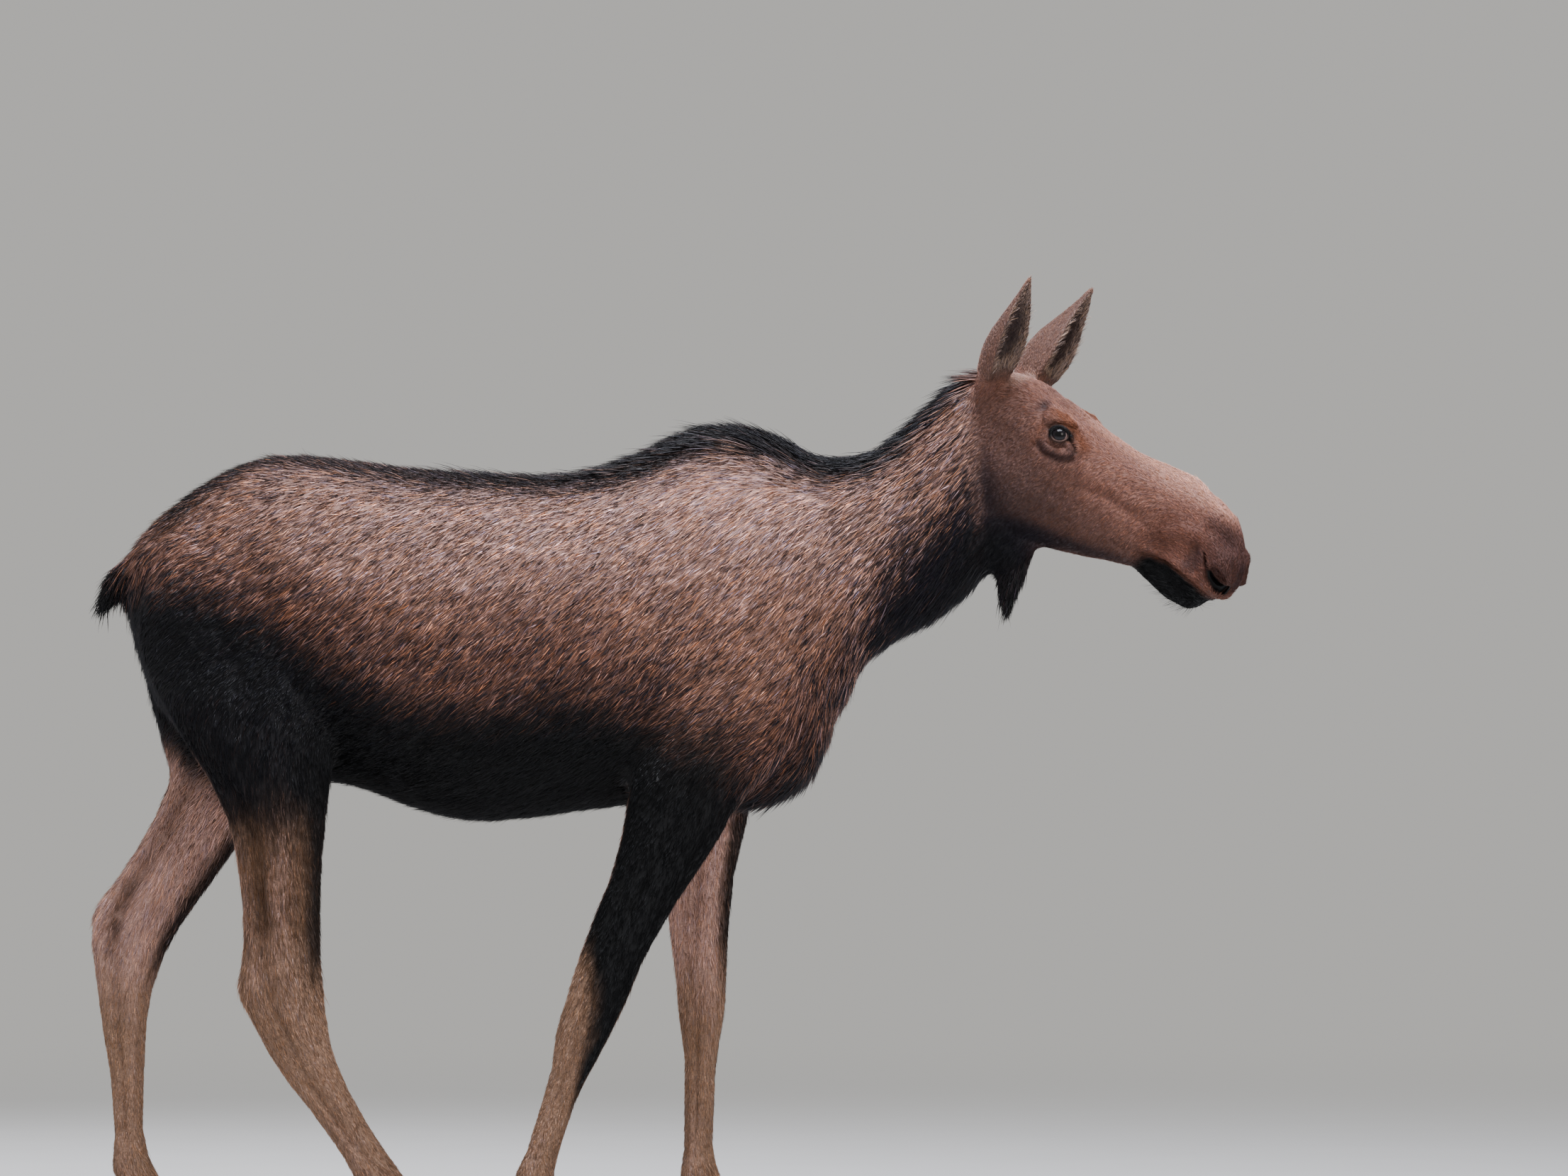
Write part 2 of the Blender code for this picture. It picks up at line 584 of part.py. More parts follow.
def part_flesh(body):
    """Cuts the flesh with every blade at once, and makes a named piece of each solid that comes loose."""
    blades = bmesh.new()
    for cut in BODY_CUTS + LEG_CUTS:
        add_slab(blades, *cut)
    cut_away(body, object_of(blades, "blades"))
    whole = bmesh.new()
    whole.from_mesh(body.data)
    bpy.data.objects.remove(body, do_unlink=True)
    for island in loose_pieces(whole):
        middle = sum((vertex.co for vertex in island), Vector()) / len(island)
        name = min(FLESH_PIECES, key=lambda piece: (middle - Vector(FLESH_PIECES[piece][0])).length)
        piece = bmesh.new()
        copies = {vertex: piece.verts.new(vertex.co) for vertex in island}
        for face in dict.fromkeys(face for vertex in island for face in vertex.link_faces):
            piece.faces.new([copies[vertex] for vertex in face.verts])
        object_of(piece, name, FLESH_PIECES[name][1])


def loose_pieces(shape):
    """The vertices of each connected piece of a bmesh."""
    seen = set()
    pieces = []
    for start in shape.verts:
        if start in seen:
            continue
        seen.add(start)
        island = [start]
        for vertex in island:
            for edge in vertex.link_edges:
                other = edge.other_vert(vertex)
                if other not in seen:
                    seen.add(other)
                    island.append(other)
        pieces.append(island)
    return pieces


# Ears and eyes


def ear_axes(side):
    """The ear's root and tip, the way its opening faces, and the way across it, in the head's frame."""
    root, tip = (Vector((x, side * y, z)) for x, y, z in (EAR_ROOTS[side], EAR_TIPS[side]))
    up = (tip - root).normalized()
    forward = Vector((1, 0, 0))
    forward = (forward - up * forward.dot(up)).normalized()
    opening = Matrix.Rotation(side * EAR_TURNS[side], 3, up) @ forward
    return root, tip, opening, up.cross(opening)


def ear_rings(side, top=1.0):
    """Rings of a C-shaped section, full at the root and hollow towards the tip."""
    root, tip, opening, across = ear_axes(side)
    half = EAR_POINTS // 2
    rings = []
    for fraction, half_width, depth, wrap_degrees, hollow in EAR_PROFILE:
        if fraction > top:
            continue
        bow = EAR_BOWS[side] * math.sin(math.pi * max(0.0, fraction))
        middle = root.lerp(tip, fraction) + opening * bow
        depth *= EAR_DEPTHS[side]
        wrap = math.radians(wrap_degrees)
        inner_width, inner_depth = half_width - EAR_THICKNESS, depth - EAR_THICKNESS
        outer = []
        inner = []
        for index in range(half):
            angle = wrap * (2 * index / (half - 1) - 1)
            outer.append(Vector((half_width * math.sin(angle), depth * math.cos(angle))))
            flat = Vector((inner_width * math.sin(wrap) * angle / wrap, depth * math.cos(wrap)))
            cupped = Vector((inner_width * math.sin(angle), inner_depth * math.cos(angle)))
            inner.append(flat.lerp(cupped, hollow))
        section = outer + inner[::-1]
        rings.append([middle + across * wide - opening * deep for wide, deep in section])
    return rings


def add_ear(side, body):
    """Stands the upper part of the ear, cut off flat, in a seat in its stump."""
    shape = bmesh.new()
    add_loft(shape, ear_rings(side), Matrix.Identity(4))
    root, tip, _, _ = ear_axes(side)
    bmesh.ops.bisect_plane(
        shape,
        geom=shape.verts[:] + shape.edges[:] + shape.faces[:],
        plane_co=root.lerp(tip, EAR_CUT),
        plane_no=tip - root,
        clear_inner=True,
    )
    rim = [edge for edge in shape.edges if edge.is_boundary]
    bmesh.ops.contextual_create(shape, geom=rim)
    bmesh.ops.triangulate(shape, faces=shape.faces[:])
    bmesh.ops.recalc_face_normals(shape, faces=shape.faces[:])
    bmesh.ops.transform(shape, matrix=head_frame(), verts=shape.verts[:])
    cut_away(body, socket_for(object_of(shape, "ear_" + SIDE_NAMES[side], "tan")))


def add_eye(side, body):
    along, out, up = EYE_SEAT
    centre = Matrix.Translation(head_frame() @ Vector((along, side * out, up)))
    shape = bmesh.new()
    bmesh.ops.create_uvsphere(shape, u_segments=14, v_segments=8, radius=EYE_RADIUS, matrix=centre)
    cut_away(body, socket_for(object_of(shape, "eye_" + SIDE_NAMES[side], "eye")))


# Hooves


def horn_rings(length, width, height, heel_share):
    """Rings of one horn, from its flat sole up to the coronet, heel at the origin and toe at +X."""
    rings = []
    for rise, inset in HORN_RINGS:
        back = HORN_HEEL_SLOPE * length * rise
        front = length * (1 - HORN_FRONT_SLOPE * rise)
        ring = []
        for index in range(HORN_POINTS):
            angle = 2 * math.pi * index / HORN_POINTS
            forward = math.cos(angle)
            x = (back + front) / 2 + (front - back) / 2 * (1 - inset) * forward
            taper = 1 - HORN_TOE_TAPER * max(0.0, forward) ** 2
            y = width / 2 * (1 - inset) * taper * math.sin(angle)
            share = heel_share + (1 - heel_share) * (x - back) / (front - back)
            ring.append(Vector((x, y, rise * height * share)))
        rings.append(ring)
    return rings


def add_horn(name, sizes, place, body):
    """One hoof or dewclaw, with its seat in the flesh above it."""
    shape = bmesh.new()
    add_loft(shape, horn_rings(*sizes), place)
    bmesh.ops.triangulate(shape, faces=shape.faces[:])
    cut_away(body, socket_for(object_of(shape, name, "horn")))


def add_hooves(leg, body):
    """Two hooves side by side on the ground, and two dewclaws behind the pastern."""
    heel, side = HEELS[leg]
    ahead, spread, height = DEWCLAW_PLACE
    lean = Matrix.Rotation(DEWCLAW_LEAN, 4, "Y")
    for half, letter in ((-1, "a"), (1, "b")):
        splay = Matrix.Rotation(half * HOOF_SPLAY, 4, "Z")
        hoof_place = Matrix.Translation((heel, side + half * HOOF_SPREAD, 0)) @ splay
        add_horn(f"{leg}_hoof_{letter}", HOOF, hoof_place, body)
        dewclaw_place = Matrix.Translation((heel + ahead, side + half * spread, height)) @ lean
        add_horn(f"{leg}_dewclaw_{letter}", DEWCLAW, dewclaw_place, body)


def stand_over_origin():
    """Moves everything so that the middle of the whole box stands over the origin and the soles on z = 0."""
    pieces = [piece for piece in bpy.data.objects if piece.type == "MESH"]
    corners = np.array([vertex.co for piece in pieces for vertex in piece.data.vertices])
    low, high = corners.min(axis=0), corners.max(axis=0)
    shift = Matrix.Translation((-(low[0] + high[0]) / 2, -(low[1] + high[1]) / 2, -low[2]))
    for piece in pieces:
        piece.data.transform(shift)
        piece.data.shade_smooth()
        piece.data.set_sharp_from_angle(angle=SHARP_ANGLE)


def main():
    clear_scene()
    body = flesh_body()
    for side in (RIGHT, LEFT):
        add_ear(side, body)
        add_eye(side, body)
        hollow_nostril(side, body)
    for leg in LEG_OUTLINES:
        add_hooves(leg, body)
    part_flesh(body)
    stand_over_origin()


main()
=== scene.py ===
# %% [markdown]
# # A cow moose, walking
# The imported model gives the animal's true outline as faceted solids. This lesson dresses it: one skin is
# drawn over all the flesh, the folds of body and face are pressed into it, and a coat of tapered locks is
# laid on it the way hair grows, with a mane on the hump, a bell at the throat and fringes in the ears.
# %% Load the frame
import math

import bmesh
import bpy
import numpy as np
from mathutils import Matrix, Vector
from mathutils.bvhtree import BVHTree


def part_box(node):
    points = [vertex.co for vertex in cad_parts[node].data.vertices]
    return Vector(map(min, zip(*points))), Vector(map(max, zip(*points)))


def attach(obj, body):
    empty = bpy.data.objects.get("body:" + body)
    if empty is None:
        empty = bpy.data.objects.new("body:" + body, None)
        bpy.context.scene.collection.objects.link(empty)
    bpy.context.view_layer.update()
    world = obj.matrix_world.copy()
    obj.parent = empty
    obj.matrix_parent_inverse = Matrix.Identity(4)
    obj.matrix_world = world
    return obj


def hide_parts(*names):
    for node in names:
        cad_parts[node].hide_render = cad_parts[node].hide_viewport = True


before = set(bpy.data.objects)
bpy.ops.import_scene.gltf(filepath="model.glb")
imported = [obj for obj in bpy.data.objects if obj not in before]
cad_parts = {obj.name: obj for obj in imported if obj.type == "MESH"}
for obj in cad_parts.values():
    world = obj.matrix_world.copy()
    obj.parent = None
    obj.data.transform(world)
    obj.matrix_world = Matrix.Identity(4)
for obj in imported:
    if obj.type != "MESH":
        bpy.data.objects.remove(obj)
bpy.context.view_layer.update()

SIDES = RIGHT, LEFT = -1, 1
SIDE_NAMES = {RIGHT: "right", LEFT: "left"}
LEGS = ("fore_right", "fore_left", "hind_right", "hind_left")

# %% [markdown]
# ## Small tools for colour
# Colours are chosen as they look on a screen, and the shader wants them linear, so one function turns them.
# Another adds a shader node with its settings and links, so that each material reads as a short recipe.
# Blends between two states use the same soft step everywhere.


# %% Helpers for colour and nodes
def linear(code):
    """A hex colour as linear red, green and blue."""
    channels = [int(code[index : index + 2], 16) / 255 for index in (1, 3, 5)]
    return np.array([c / 12.92 if c <= 0.04045 else ((c + 0.055) / 1.055) ** 2.4 for c in channels])


def new_material(name):
    """An empty material and its node tree."""
    made = bpy.data.materials.new(name)
    made.use_nodes = True
    made.node_tree.nodes.clear()
    return made, made.node_tree


def add_node(tree, kind, inputs=(), **settings):
    """Adds one node. inputs maps sockets to values, or to the sockets of other nodes."""
    made = tree.nodes.new(kind)
    for name, value in settings.items():
        setattr(made, name, value)
    for name, value in dict(inputs).items():
        if isinstance(value, bpy.types.NodeSocket):
            tree.links.new(value, made.inputs[name])
        else:
            made.inputs[name].default_value = value
    return made


def soft_step(value, start, end):
    """0 at start, 1 at end, smooth between. It falls when end is under start."""
    share = np.clip((value - start) / (end - start), 0.0, 1.0)
    return share * share * (3 - 2 * share)


print("#808080 is", linear("#808080").round(3), "in linear light")

# %% [markdown]
# ## Small tools for meshes
# The animal has so many points that a loop over them would take minutes. So whole meshes are read into
# arrays, worked on at once and written back, and these functions do the reading and writing.
# %% Helpers for meshes
def object_from(shape, name):
    mesh = bpy.data.meshes.new(name)
    shape.to_mesh(mesh)
    shape.free()
    made = bpy.data.objects.new(name, mesh)
    bpy.context.scene.collection.objects.link(made)
    return made


def apply_modifiers(target):
    """Makes what the modifiers give the object's own mesh."""
    bpy.context.view_layer.update()
    graph = bpy.context.evaluated_depsgraph_get()
    mesh = bpy.data.meshes.new_from_object(target.evaluated_get(graph))
    target.modifiers.clear()
    target.data = mesh


def read(items, what, width, kind=np.int32):
    """One property of all the vertices, edges or triangles, as a row for each."""
    flat = np.empty(len(items) * width, kind)
    items.foreach_get(what, flat)
    return flat.reshape(-1, width)


def points_of(mesh):
    return read(mesh.vertices, "co", 3, np.float32).astype(float)


def normals_of(mesh):
    return read(mesh.vertices, "normal", 3, np.float32).astype(float)


def edges_of(mesh):
    return read(mesh.edges, "vertices", 2)


def triangles_of(mesh):
    mesh.calc_loop_triangles()
    return read(mesh.loop_triangles, "vertices", 3)


def put_points(mesh, points):
    mesh.vertices.foreach_set("co", points.astype(np.float32).ravel())
    mesh.update()


def paint(mesh, layer, colours):
    """Gives each point a colour, in a layer that a material can read."""
    filled = np.ones((len(colours), 4), np.float32)
    filled[:, :3] = colours
    mesh.color_attributes.new(layer, "FLOAT_COLOR", "POINT").data.foreach_set("color", filled.ravel())


def lay_out(mesh, corner_places):
    """Gives each corner its place on the map that the colours are baked to."""
    layer = mesh.uv_layers.new(name="OFBake")
    layer.data.foreach_set("uv", corner_places.astype(np.float32).ravel())


def unit(vectors):
    return vectors / np.maximum(np.linalg.norm(vectors, axis=-1, keepdims=True), 1e-9)


def squared(vectors, axes):
    """Each vector turned to stand at right angles to its axis, with a length of 1."""
    return unit(vectors - axes * (vectors * axes).sum(axis=1, keepdims=True))


def soften(values, edges, rounds):
    """Averages the values at each vertex with its neighbours', again and again."""
    ends = np.concatenate([edges[:, 0], edges[:, 1]])
    others = np.concatenate([edges[:, 1], edges[:, 0]])
    total = len(values)
    count = 1 + np.bincount(ends, minlength=total)[:, None]
    for _ in range(rounds):
        sums = [np.bincount(ends, weights=column[others], minlength=total) for column in values.T]
        values = (values + np.stack(sums, axis=1)) / count
    return values


print("a length of 5 made 1:", unit(np.array([3.0, 4.0])))

# %% [markdown]
# A CAD node's mesh is loose triangles, so a copy of it is merged before anything is done to its edges.
# %% Copy a solid
SAME_POINT = 1e-5


def merged_copy(name):
    """A bmesh of one CAD node, in its place and with its loose triangles joined."""
    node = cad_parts[name]
    piece = bmesh.new()
    piece.from_mesh(node.data)
    piece.transform(node.matrix_world)
    bmesh.ops.remove_doubles(piece, verts=piece.verts[:], dist=SAME_POINT)
    piece.normal_update()
    return piece


def add_piece(shape, piece):
    """Adds one bmesh to another. Returns the added one as a mesh."""
    mesh = bpy.data.meshes.new("added")
    piece.to_mesh(mesh)
    piece.free()
    shape.from_mesh(mesh)
    return mesh


hoof = merged_copy("fore_right_hoof_a")
print("a merged hoof has", len(hoof.verts), "points")
hoof.free()

# %% [markdown]
# ## The head's own frame
# Every fold of the face is easier to place along the face than in the room. The head's frame starts at the
# poll, between the ears: its X runs down the face to the nose, its Z points out of the brow. The centre of
# the right eye is known in both frames, which fixes where the head's frame lies.
# %% Place the head's frame
HEAD_TURN = Matrix.Rotation(math.radians(-20), 3, "Z") @ Matrix.Rotation(math.radians(36), 3, "Y")
EYE_SEAT = np.array([0.175, 0.091, 0.008])
head_axes = np.array(HEAD_TURN)
eye_middle = np.mean(np.array(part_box("eye_right")), axis=0)
poll = eye_middle - head_axes @ (EYE_SEAT * (1, RIGHT, 1))


def to_head(points):
    return (points - poll) @ head_axes


def from_head(points):
    return np.asarray(points) @ head_axes.T + poll


print("poll at", poll.round(3))

# %% [markdown]
# ## The skin
# The living animal has one unbroken skin, and the solids are parted by thin gaps. Each solid of flesh is
# copied a hair larger so that neighbours overlap, and a voxel remesh draws one closed surface over all of
# them. The broad body needs few faces and the face many, so a decimation that spares the head follows.
# %% Draw one skin over the flesh
FLESH = ["trunk", "neck", "head", "bell", "tail", "ear_right", "ear_left"]
for leg in LEGS:
    FLESH += [leg + "_" + part for part in ("forearm" if "fore" in leg else "thigh", "cannon", "pastern")]
OVERLAP = 0.0005
SKIN_VOXEL = 0.0045
BODY_KEPT = 0.215
# In the head's frame: what lies behind or below these is the body, whose faces are thinned.
BEHIND_FACE, BELOW_FACE = -0.07, -0.25


def add_grown(shape, name):
    """Adds one CAD solid to a bmesh, a hair larger all round. Returns its mesh."""
    piece = merged_copy(name)
    for vertex in piece.verts:
        vertex.co += vertex.normal * OVERLAP * vertex.calc_shell_factor()
    return add_piece(shape, piece)


flesh = bmesh.new()
solid_points, solid_triangles, solid_owner = [], [], []
offset = 0
for number, name in enumerate(FLESH):
    grown = add_grown(flesh, name)
    solid_points.append(points_of(grown))
    solid_triangles.append(triangles_of(grown) + offset)
    solid_owner += [number] * len(solid_triangles[-1])
    offset += len(solid_points[-1])
for side in SIDES:
    add_grown(flesh, "eye_" + SIDE_NAMES[side])
solid_owner = np.array(solid_owner)
solids = BVHTree.FromPolygons(
    np.concatenate(solid_points).tolist(), np.concatenate(solid_triangles).tolist(), all_triangles=True
)
print("copied", len(FLESH), "solids of flesh and 2 eyes")

# %% [markdown]
# The remesh leaves tiny steps, which a smoothing takes away. The decimation after it spares the face.
# %% Remesh the copies into one surface
skin = object_from(flesh, "skin")
remesh = skin.modifiers.new("one skin", "REMESH")
remesh.mode = "VOXEL"
remesh.voxel_size = SKIN_VOXEL
apply_modifiers(skin)
relax = skin.modifiers.new("relax", "SMOOTH")
relax.iterations = 4
along_face, _, above_face = to_head(points_of(skin.data)).T
plain = (along_face < BEHIND_FACE) | (above_face < BELOW_FACE)
group = skin.vertex_groups.new(name="plain")
group.add(np.nonzero(plain)[0].tolist(), 1.0, "REPLACE")
thin = skin.modifiers.new("fewer faces on the body", "DECIMATE")
thin.ratio = BODY_KEPT
thin.vertex_group = "plain"
apply_modifiers(skin)
print("skin drawn:", len(skin.data.vertices), "points,", len(triangles_of(skin.data)), "triangles")


# %% [markdown]
# The ball of an eye can leave a closed crumb inside the head. Only the largest island is the skin.
# %% Clear the crumbs away
def islands(count, edges):
    """A number for each point, the same for all points that edges join."""
    labels = np.arange(count)
    while True:
        lowest = np.minimum(labels[edges[:, 0]], labels[edges[:, 1]])
        joined = labels.copy()
        np.minimum.at(joined, edges[:, 0], lowest)
        np.minimum.at(joined, edges[:, 1], lowest)
        joined = joined[joined]
        if (joined == labels).all():
            return labels
        labels = joined


labels = islands(len(skin.data.vertices), edges_of(skin.data))
largest = np.bincount(labels).argmax()
shape = bmesh.new()
shape.from_mesh(skin.data)
loose = [vertex for vertex, label in zip(shape.verts, labels) if label != largest]
bmesh.ops.delete(shape, geom=loose, context="VERTS")
shape.to_mesh(skin.data)
shape.free()
print("crumbs removed:", len(loose), "points")

# %% [markdown]
# ## Which part of the body each point belongs to
# The coat's length, its lie and its colour all change from part to part. Each point of the skin asks the
# solids which of them lies nearest, and takes that part's values. Averaging over neighbours then blends
# the borders, as they do on the animal.
# %% Name the part under each point
# For each part: coat depth, lock length, lock width (metres), lift (radians) and locks per square centimetre.
GROWTH = {
    "trunk": (0.0075, 0.027, 0.0018, 0.21, 5.0),
    "neck": (0.0085, 0.032, 0.0019, 0.22, 5.6),
    "head": (0.0022, 0.0090, 0.0012, 0.15, 15.2),
    "bell": (0.0070, 0.036, 0.0020, 0.14, 12.0),
    "tail": (0.0060, 0.045, 0.0024, 0.18, 9.0),
    "ear_right": (0.0010, 0.0070, 0.0010, 0.12, 16.0),
    "ear_left": (0.0010, 0.0070, 0.0010, 0.12, 16.0),
    "forearm": (0.0035, 0.019, 0.0018, 0.13, 4.8),
    "thigh": (0.0040, 0.022, 0.0019, 0.13, 4.6),
    "cannon": (0.0022, 0.012, 0.0014, 0.12, 7.5),
    "pastern": (0.0022, 0.012, 0.0015, 0.16, 9.0),
}
BLENDING = 12


def growth_of(name):
    return GROWTH.get(name) or GROWTH[name.split("_")[-1]]


def owners_of(points):
    """The number in FLESH of the solid nearest to each point."""
    return np.array([solid_owner[solids.find_nearest(point)[2]] for point in points.tolist()])


skin_points = points_of(skin.data)
owner = owners_of(skin_points)
depth = np.array([growth_of(name)[0] for name in FLESH])[owner]
depth = soften(depth[:, None], edges_of(skin.data), BLENDING)
put_points(skin.data, skin_points - normals_of(skin.data) * depth)
print("skin drawn in by", (1000 * depth.min()).round(1), "to", (1000 * depth.max()).round(1), "mm")

# %% [markdown]
# ## Finer faces where the folds are
# Lids, nostrils and lips turn within a few millimetres. Only the faces round them are split again, because
# splitting the whole head would cost as many triangles as the rest of the animal.
# %% Split the faces round eyes, nostrils and mouth
EYE_MIDDLES = {side: from_head(EYE_SEAT * (1, side, 1)) for side in SIDES}
NOSTRIL_MIDDLE = np.array([0.604, 0.062, -0.036])
# The edge of the upper lip, from the corner of the mouth round to the front, as along, out and up.
LIP = [
    (0.431, 0.052, -0.094),
    (0.465, 0.058, -0.082),
    (0.496, 0.062, -0.074),
    (0.533, 0.064, -0.071),
    (0.573, 0.064, -0.075),
    (0.602, 0.056, -0.082),
    (0.624, 0.036, -0.084),
    (0.630, 0.000, -0.086),
]
# The nostril, a comma lying on its back: along, up, and its half width.
NOSTRIL = [
    (0.557, -0.010, 0.0026),
    (0.572, -0.029, 0.0044),
    (0.590, -0.045, 0.0080),
    (0.612, -0.053, 0.0120),
    (0.632, -0.049, 0.0115),
    (0.645, -0.040, 0.0055),
]


def split_near(target, places, reach):
    """Splits each edge that has an end within reach of one of the places."""
    shape = bmesh.new()
    shape.from_mesh(target.data)
    shape.edges.ensure_lookup_table()
    points = points_of(target.data)
    near = np.zeros(len(points), bool)
    for place in places:
        near |= np.linalg.norm(points - place, axis=1) < reach
    ends = edges_of(target.data)
    chosen = [shape.edges[index] for index in np.nonzero(near[ends].any(axis=1))[0]]
    bmesh.ops.subdivide_edges(shape, edges=chosen, cuts=1, use_grid_fill=True)
    bmesh.ops.triangulate(shape, faces=shape.faces[:])
    shape.to_mesh(target.data)
    shape.free()


eyes = list(EYE_MIDDLES.values())
nostrils = [from_head(NOSTRIL_MIDDLE * (1, side, 1)) for side in SIDES]
lips = [from_head(np.array(point) * (1, side, 1)) for point in LIP for side in SIDES]
for places, reach in ((eyes, 0.046), (eyes, 0.034), (nostrils, 0.052), (lips, 0.016)):
    split_near(skin, places, reach)
print("skin refined:", len(triangles_of(skin.data)), "triangles")

# %% [markdown]
# ## Folds, veins and muscles
# A fold is a line that the surface dips along, and a vein or the edge of a muscle is one that it rises
# along. Both are written as a few points, a width and a height, and the same function presses them all in.
# %% List the folds of the body
# Each is its points (x, |y|, z) in the row frame, its half width and its height, negative for a fold.
BODY_FOLDS = [
    ([(-0.045, 0.22, 1.10), (-0.070, 0.20, 1.02), (-0.085, 0.20, 0.94)], 0.016, -0.014),
    ([(0.240, 0.20, 1.42), (0.262, 0.20, 1.28), (0.285, 0.18, 1.18)], 0.016, -0.008),
    ([(0.205, 0.20, 1.44), (0.228, 0.20, 1.30), (0.250, 0.19, 1.16)], 0.014, 0.006),
    ([(0.300, 0.18, 1.38), (0.318, 0.17, 1.26)], 0.014, 0.006),
    ([(0.060, 0.20, 1.55), (0.110, 0.20, 1.40), (0.190, 0.21, 1.22)], 0.040, 0.006),
    ([(-0.030, 0.21, 1.45), (-0.010, 0.22, 1.30), (0.000, 0.23, 1.16)], 0.045, -0.006),
    ([(-0.915, 0.19, 1.34), (-0.890, 0.22, 1.27), (-0.850, 0.23, 1.16), (-0.830, 0.23, 1.09)], 0.016, -0.007),
    ([(-0.990, 0.15, 1.30), (-0.985, 0.17, 1.18), (-0.955, 0.19, 1.02)], 0.018, -0.006),
    ([(-0.640, 0.22, 1.30), (-0.660, 0.22, 1.16), (-0.665, 0.21, 1.05)], 0.035, -0.008),
    ([(-0.700, 0.20, 1.48), (-0.640, 0.24, 1.40), (-0.560, 0.25, 1.36)], 0.040, -0.006),
    ([(0.120, 0.21, 1.00), (0.080, 0.21, 0.90)], 0.020, -0.005),
]
print("folds to press:", len(BODY_FOLDS))


# %% [markdown]
# A fold is deepest on its line and fades out with distance like a bell curve, so it leaves no edge.
# %% Press folds into the skin
def distance_to_line(points, line):
    """How far each point lies from a line drawn through a few others."""
    nearest = np.full(len(points), np.inf)
    for start, end in zip(line, line[1:]):
        start, end = np.array(start), np.array(end)
        along = end - start
        share = np.clip((points - start) @ along / (along @ along), 0, 1)[:, None]
        nearest = np.minimum(nearest, np.linalg.norm(points - start - share * along, axis=1))
    return nearest


# Lines narrower than this, in metres, are drawn as seen from the side. FLAT leaves out the depth.
NARROW = 0.0066
FLAT = np.array([1.0, 0.0, 1.0])


def distance_to_mark(points, line, width):
    """The same, but a narrow line is drawn as seen from the side, so that it stays on the surface."""
    if width > NARROW:
        return distance_to_line(points, line)
    behind = np.where(points[:, 1] * np.mean([place[1] for place in line]) < 0, 1.0, 0.0)
    return distance_to_line(points * FLAT, [np.array(place) * FLAT for place in line]) + behind


def press(points, normals, folds):
    """Raises or sinks the surface along each fold, on both sides of the body."""
    for line, width, height in folds:
        for side in SIDES:
            mirrored = [(x, side * y, z) for x, y, z in line]
            distance = distance_to_mark(points, mirrored, width)
            points = points + normals * (height * np.exp(-((distance / width) ** 2)))[:, None]
    return points


def press_skin(folds, into=lambda points: points, back=lambda points: points):
    """Presses folds into the skin. into and back turn its points to the frame of the folds and back."""
    points, normals = points_of(skin.data), normals_of(skin.data)
    moved = press(into(points), into(points + normals) - into(points), folds)
    put_points(skin.data, back(moved))


press_skin(BODY_FOLDS)
print("pressed", len(BODY_FOLDS), "folds into each side of the body")

# %% [markdown]
# ## Tendons and joints
# Under the thin hair of a leg its tendons, the bones of its joints and the big string above the hock all
# show. A leg leans and bends, so a line down it is not placed in the room but by its height and by how far
# back it lies between the front and the rear edge, which keeps the line on the leg at every height.
# %% Measure down the legs
# On the map of a leg, 1 is its width across, and a metre of its height counts this much.
LEG_STRETCH = 1.5


def down_the_legs(points, names):
    """For each point of a leg, how far back it lies at its height: 0 at the front edge, 1 at the rear."""
    back = np.full(len(points), 0.5)
    levels = np.arange(0.02, 1.20, 0.02)
    for leg in LEGS:
        here = np.char.startswith(names, leg)
        bands = np.digitize(points[:, 2], levels)
        reach = [(band, points[here & (bands == band), 0]) for band in np.unique(bands[here])]
        heights = np.array([levels[band - 1] + 0.01 for band, _ in reach])
        front = np.interp(points[:, 2], heights, [xs.max() for _, xs in reach])
        rear = np.interp(points[:, 2], heights, [xs.min() for _, xs in reach])
        back = np.where(here, (front - points[:, 0]) / (front - rear), back)
    return back


def leg_view(points, back):
    """Where points lie on the map of a leg: their height and how far back they are."""
    return np.stack([points[:, 2] * LEG_STRETCH, back], axis=1)


leg_points = points_of(skin.data)
names = np.array(FLESH)[owners_of(leg_points)]
back = down_the_legs(leg_points, names)
print("the legs' points lie from", back.min().round(2), "to", back.max().round(2), "of the way back")

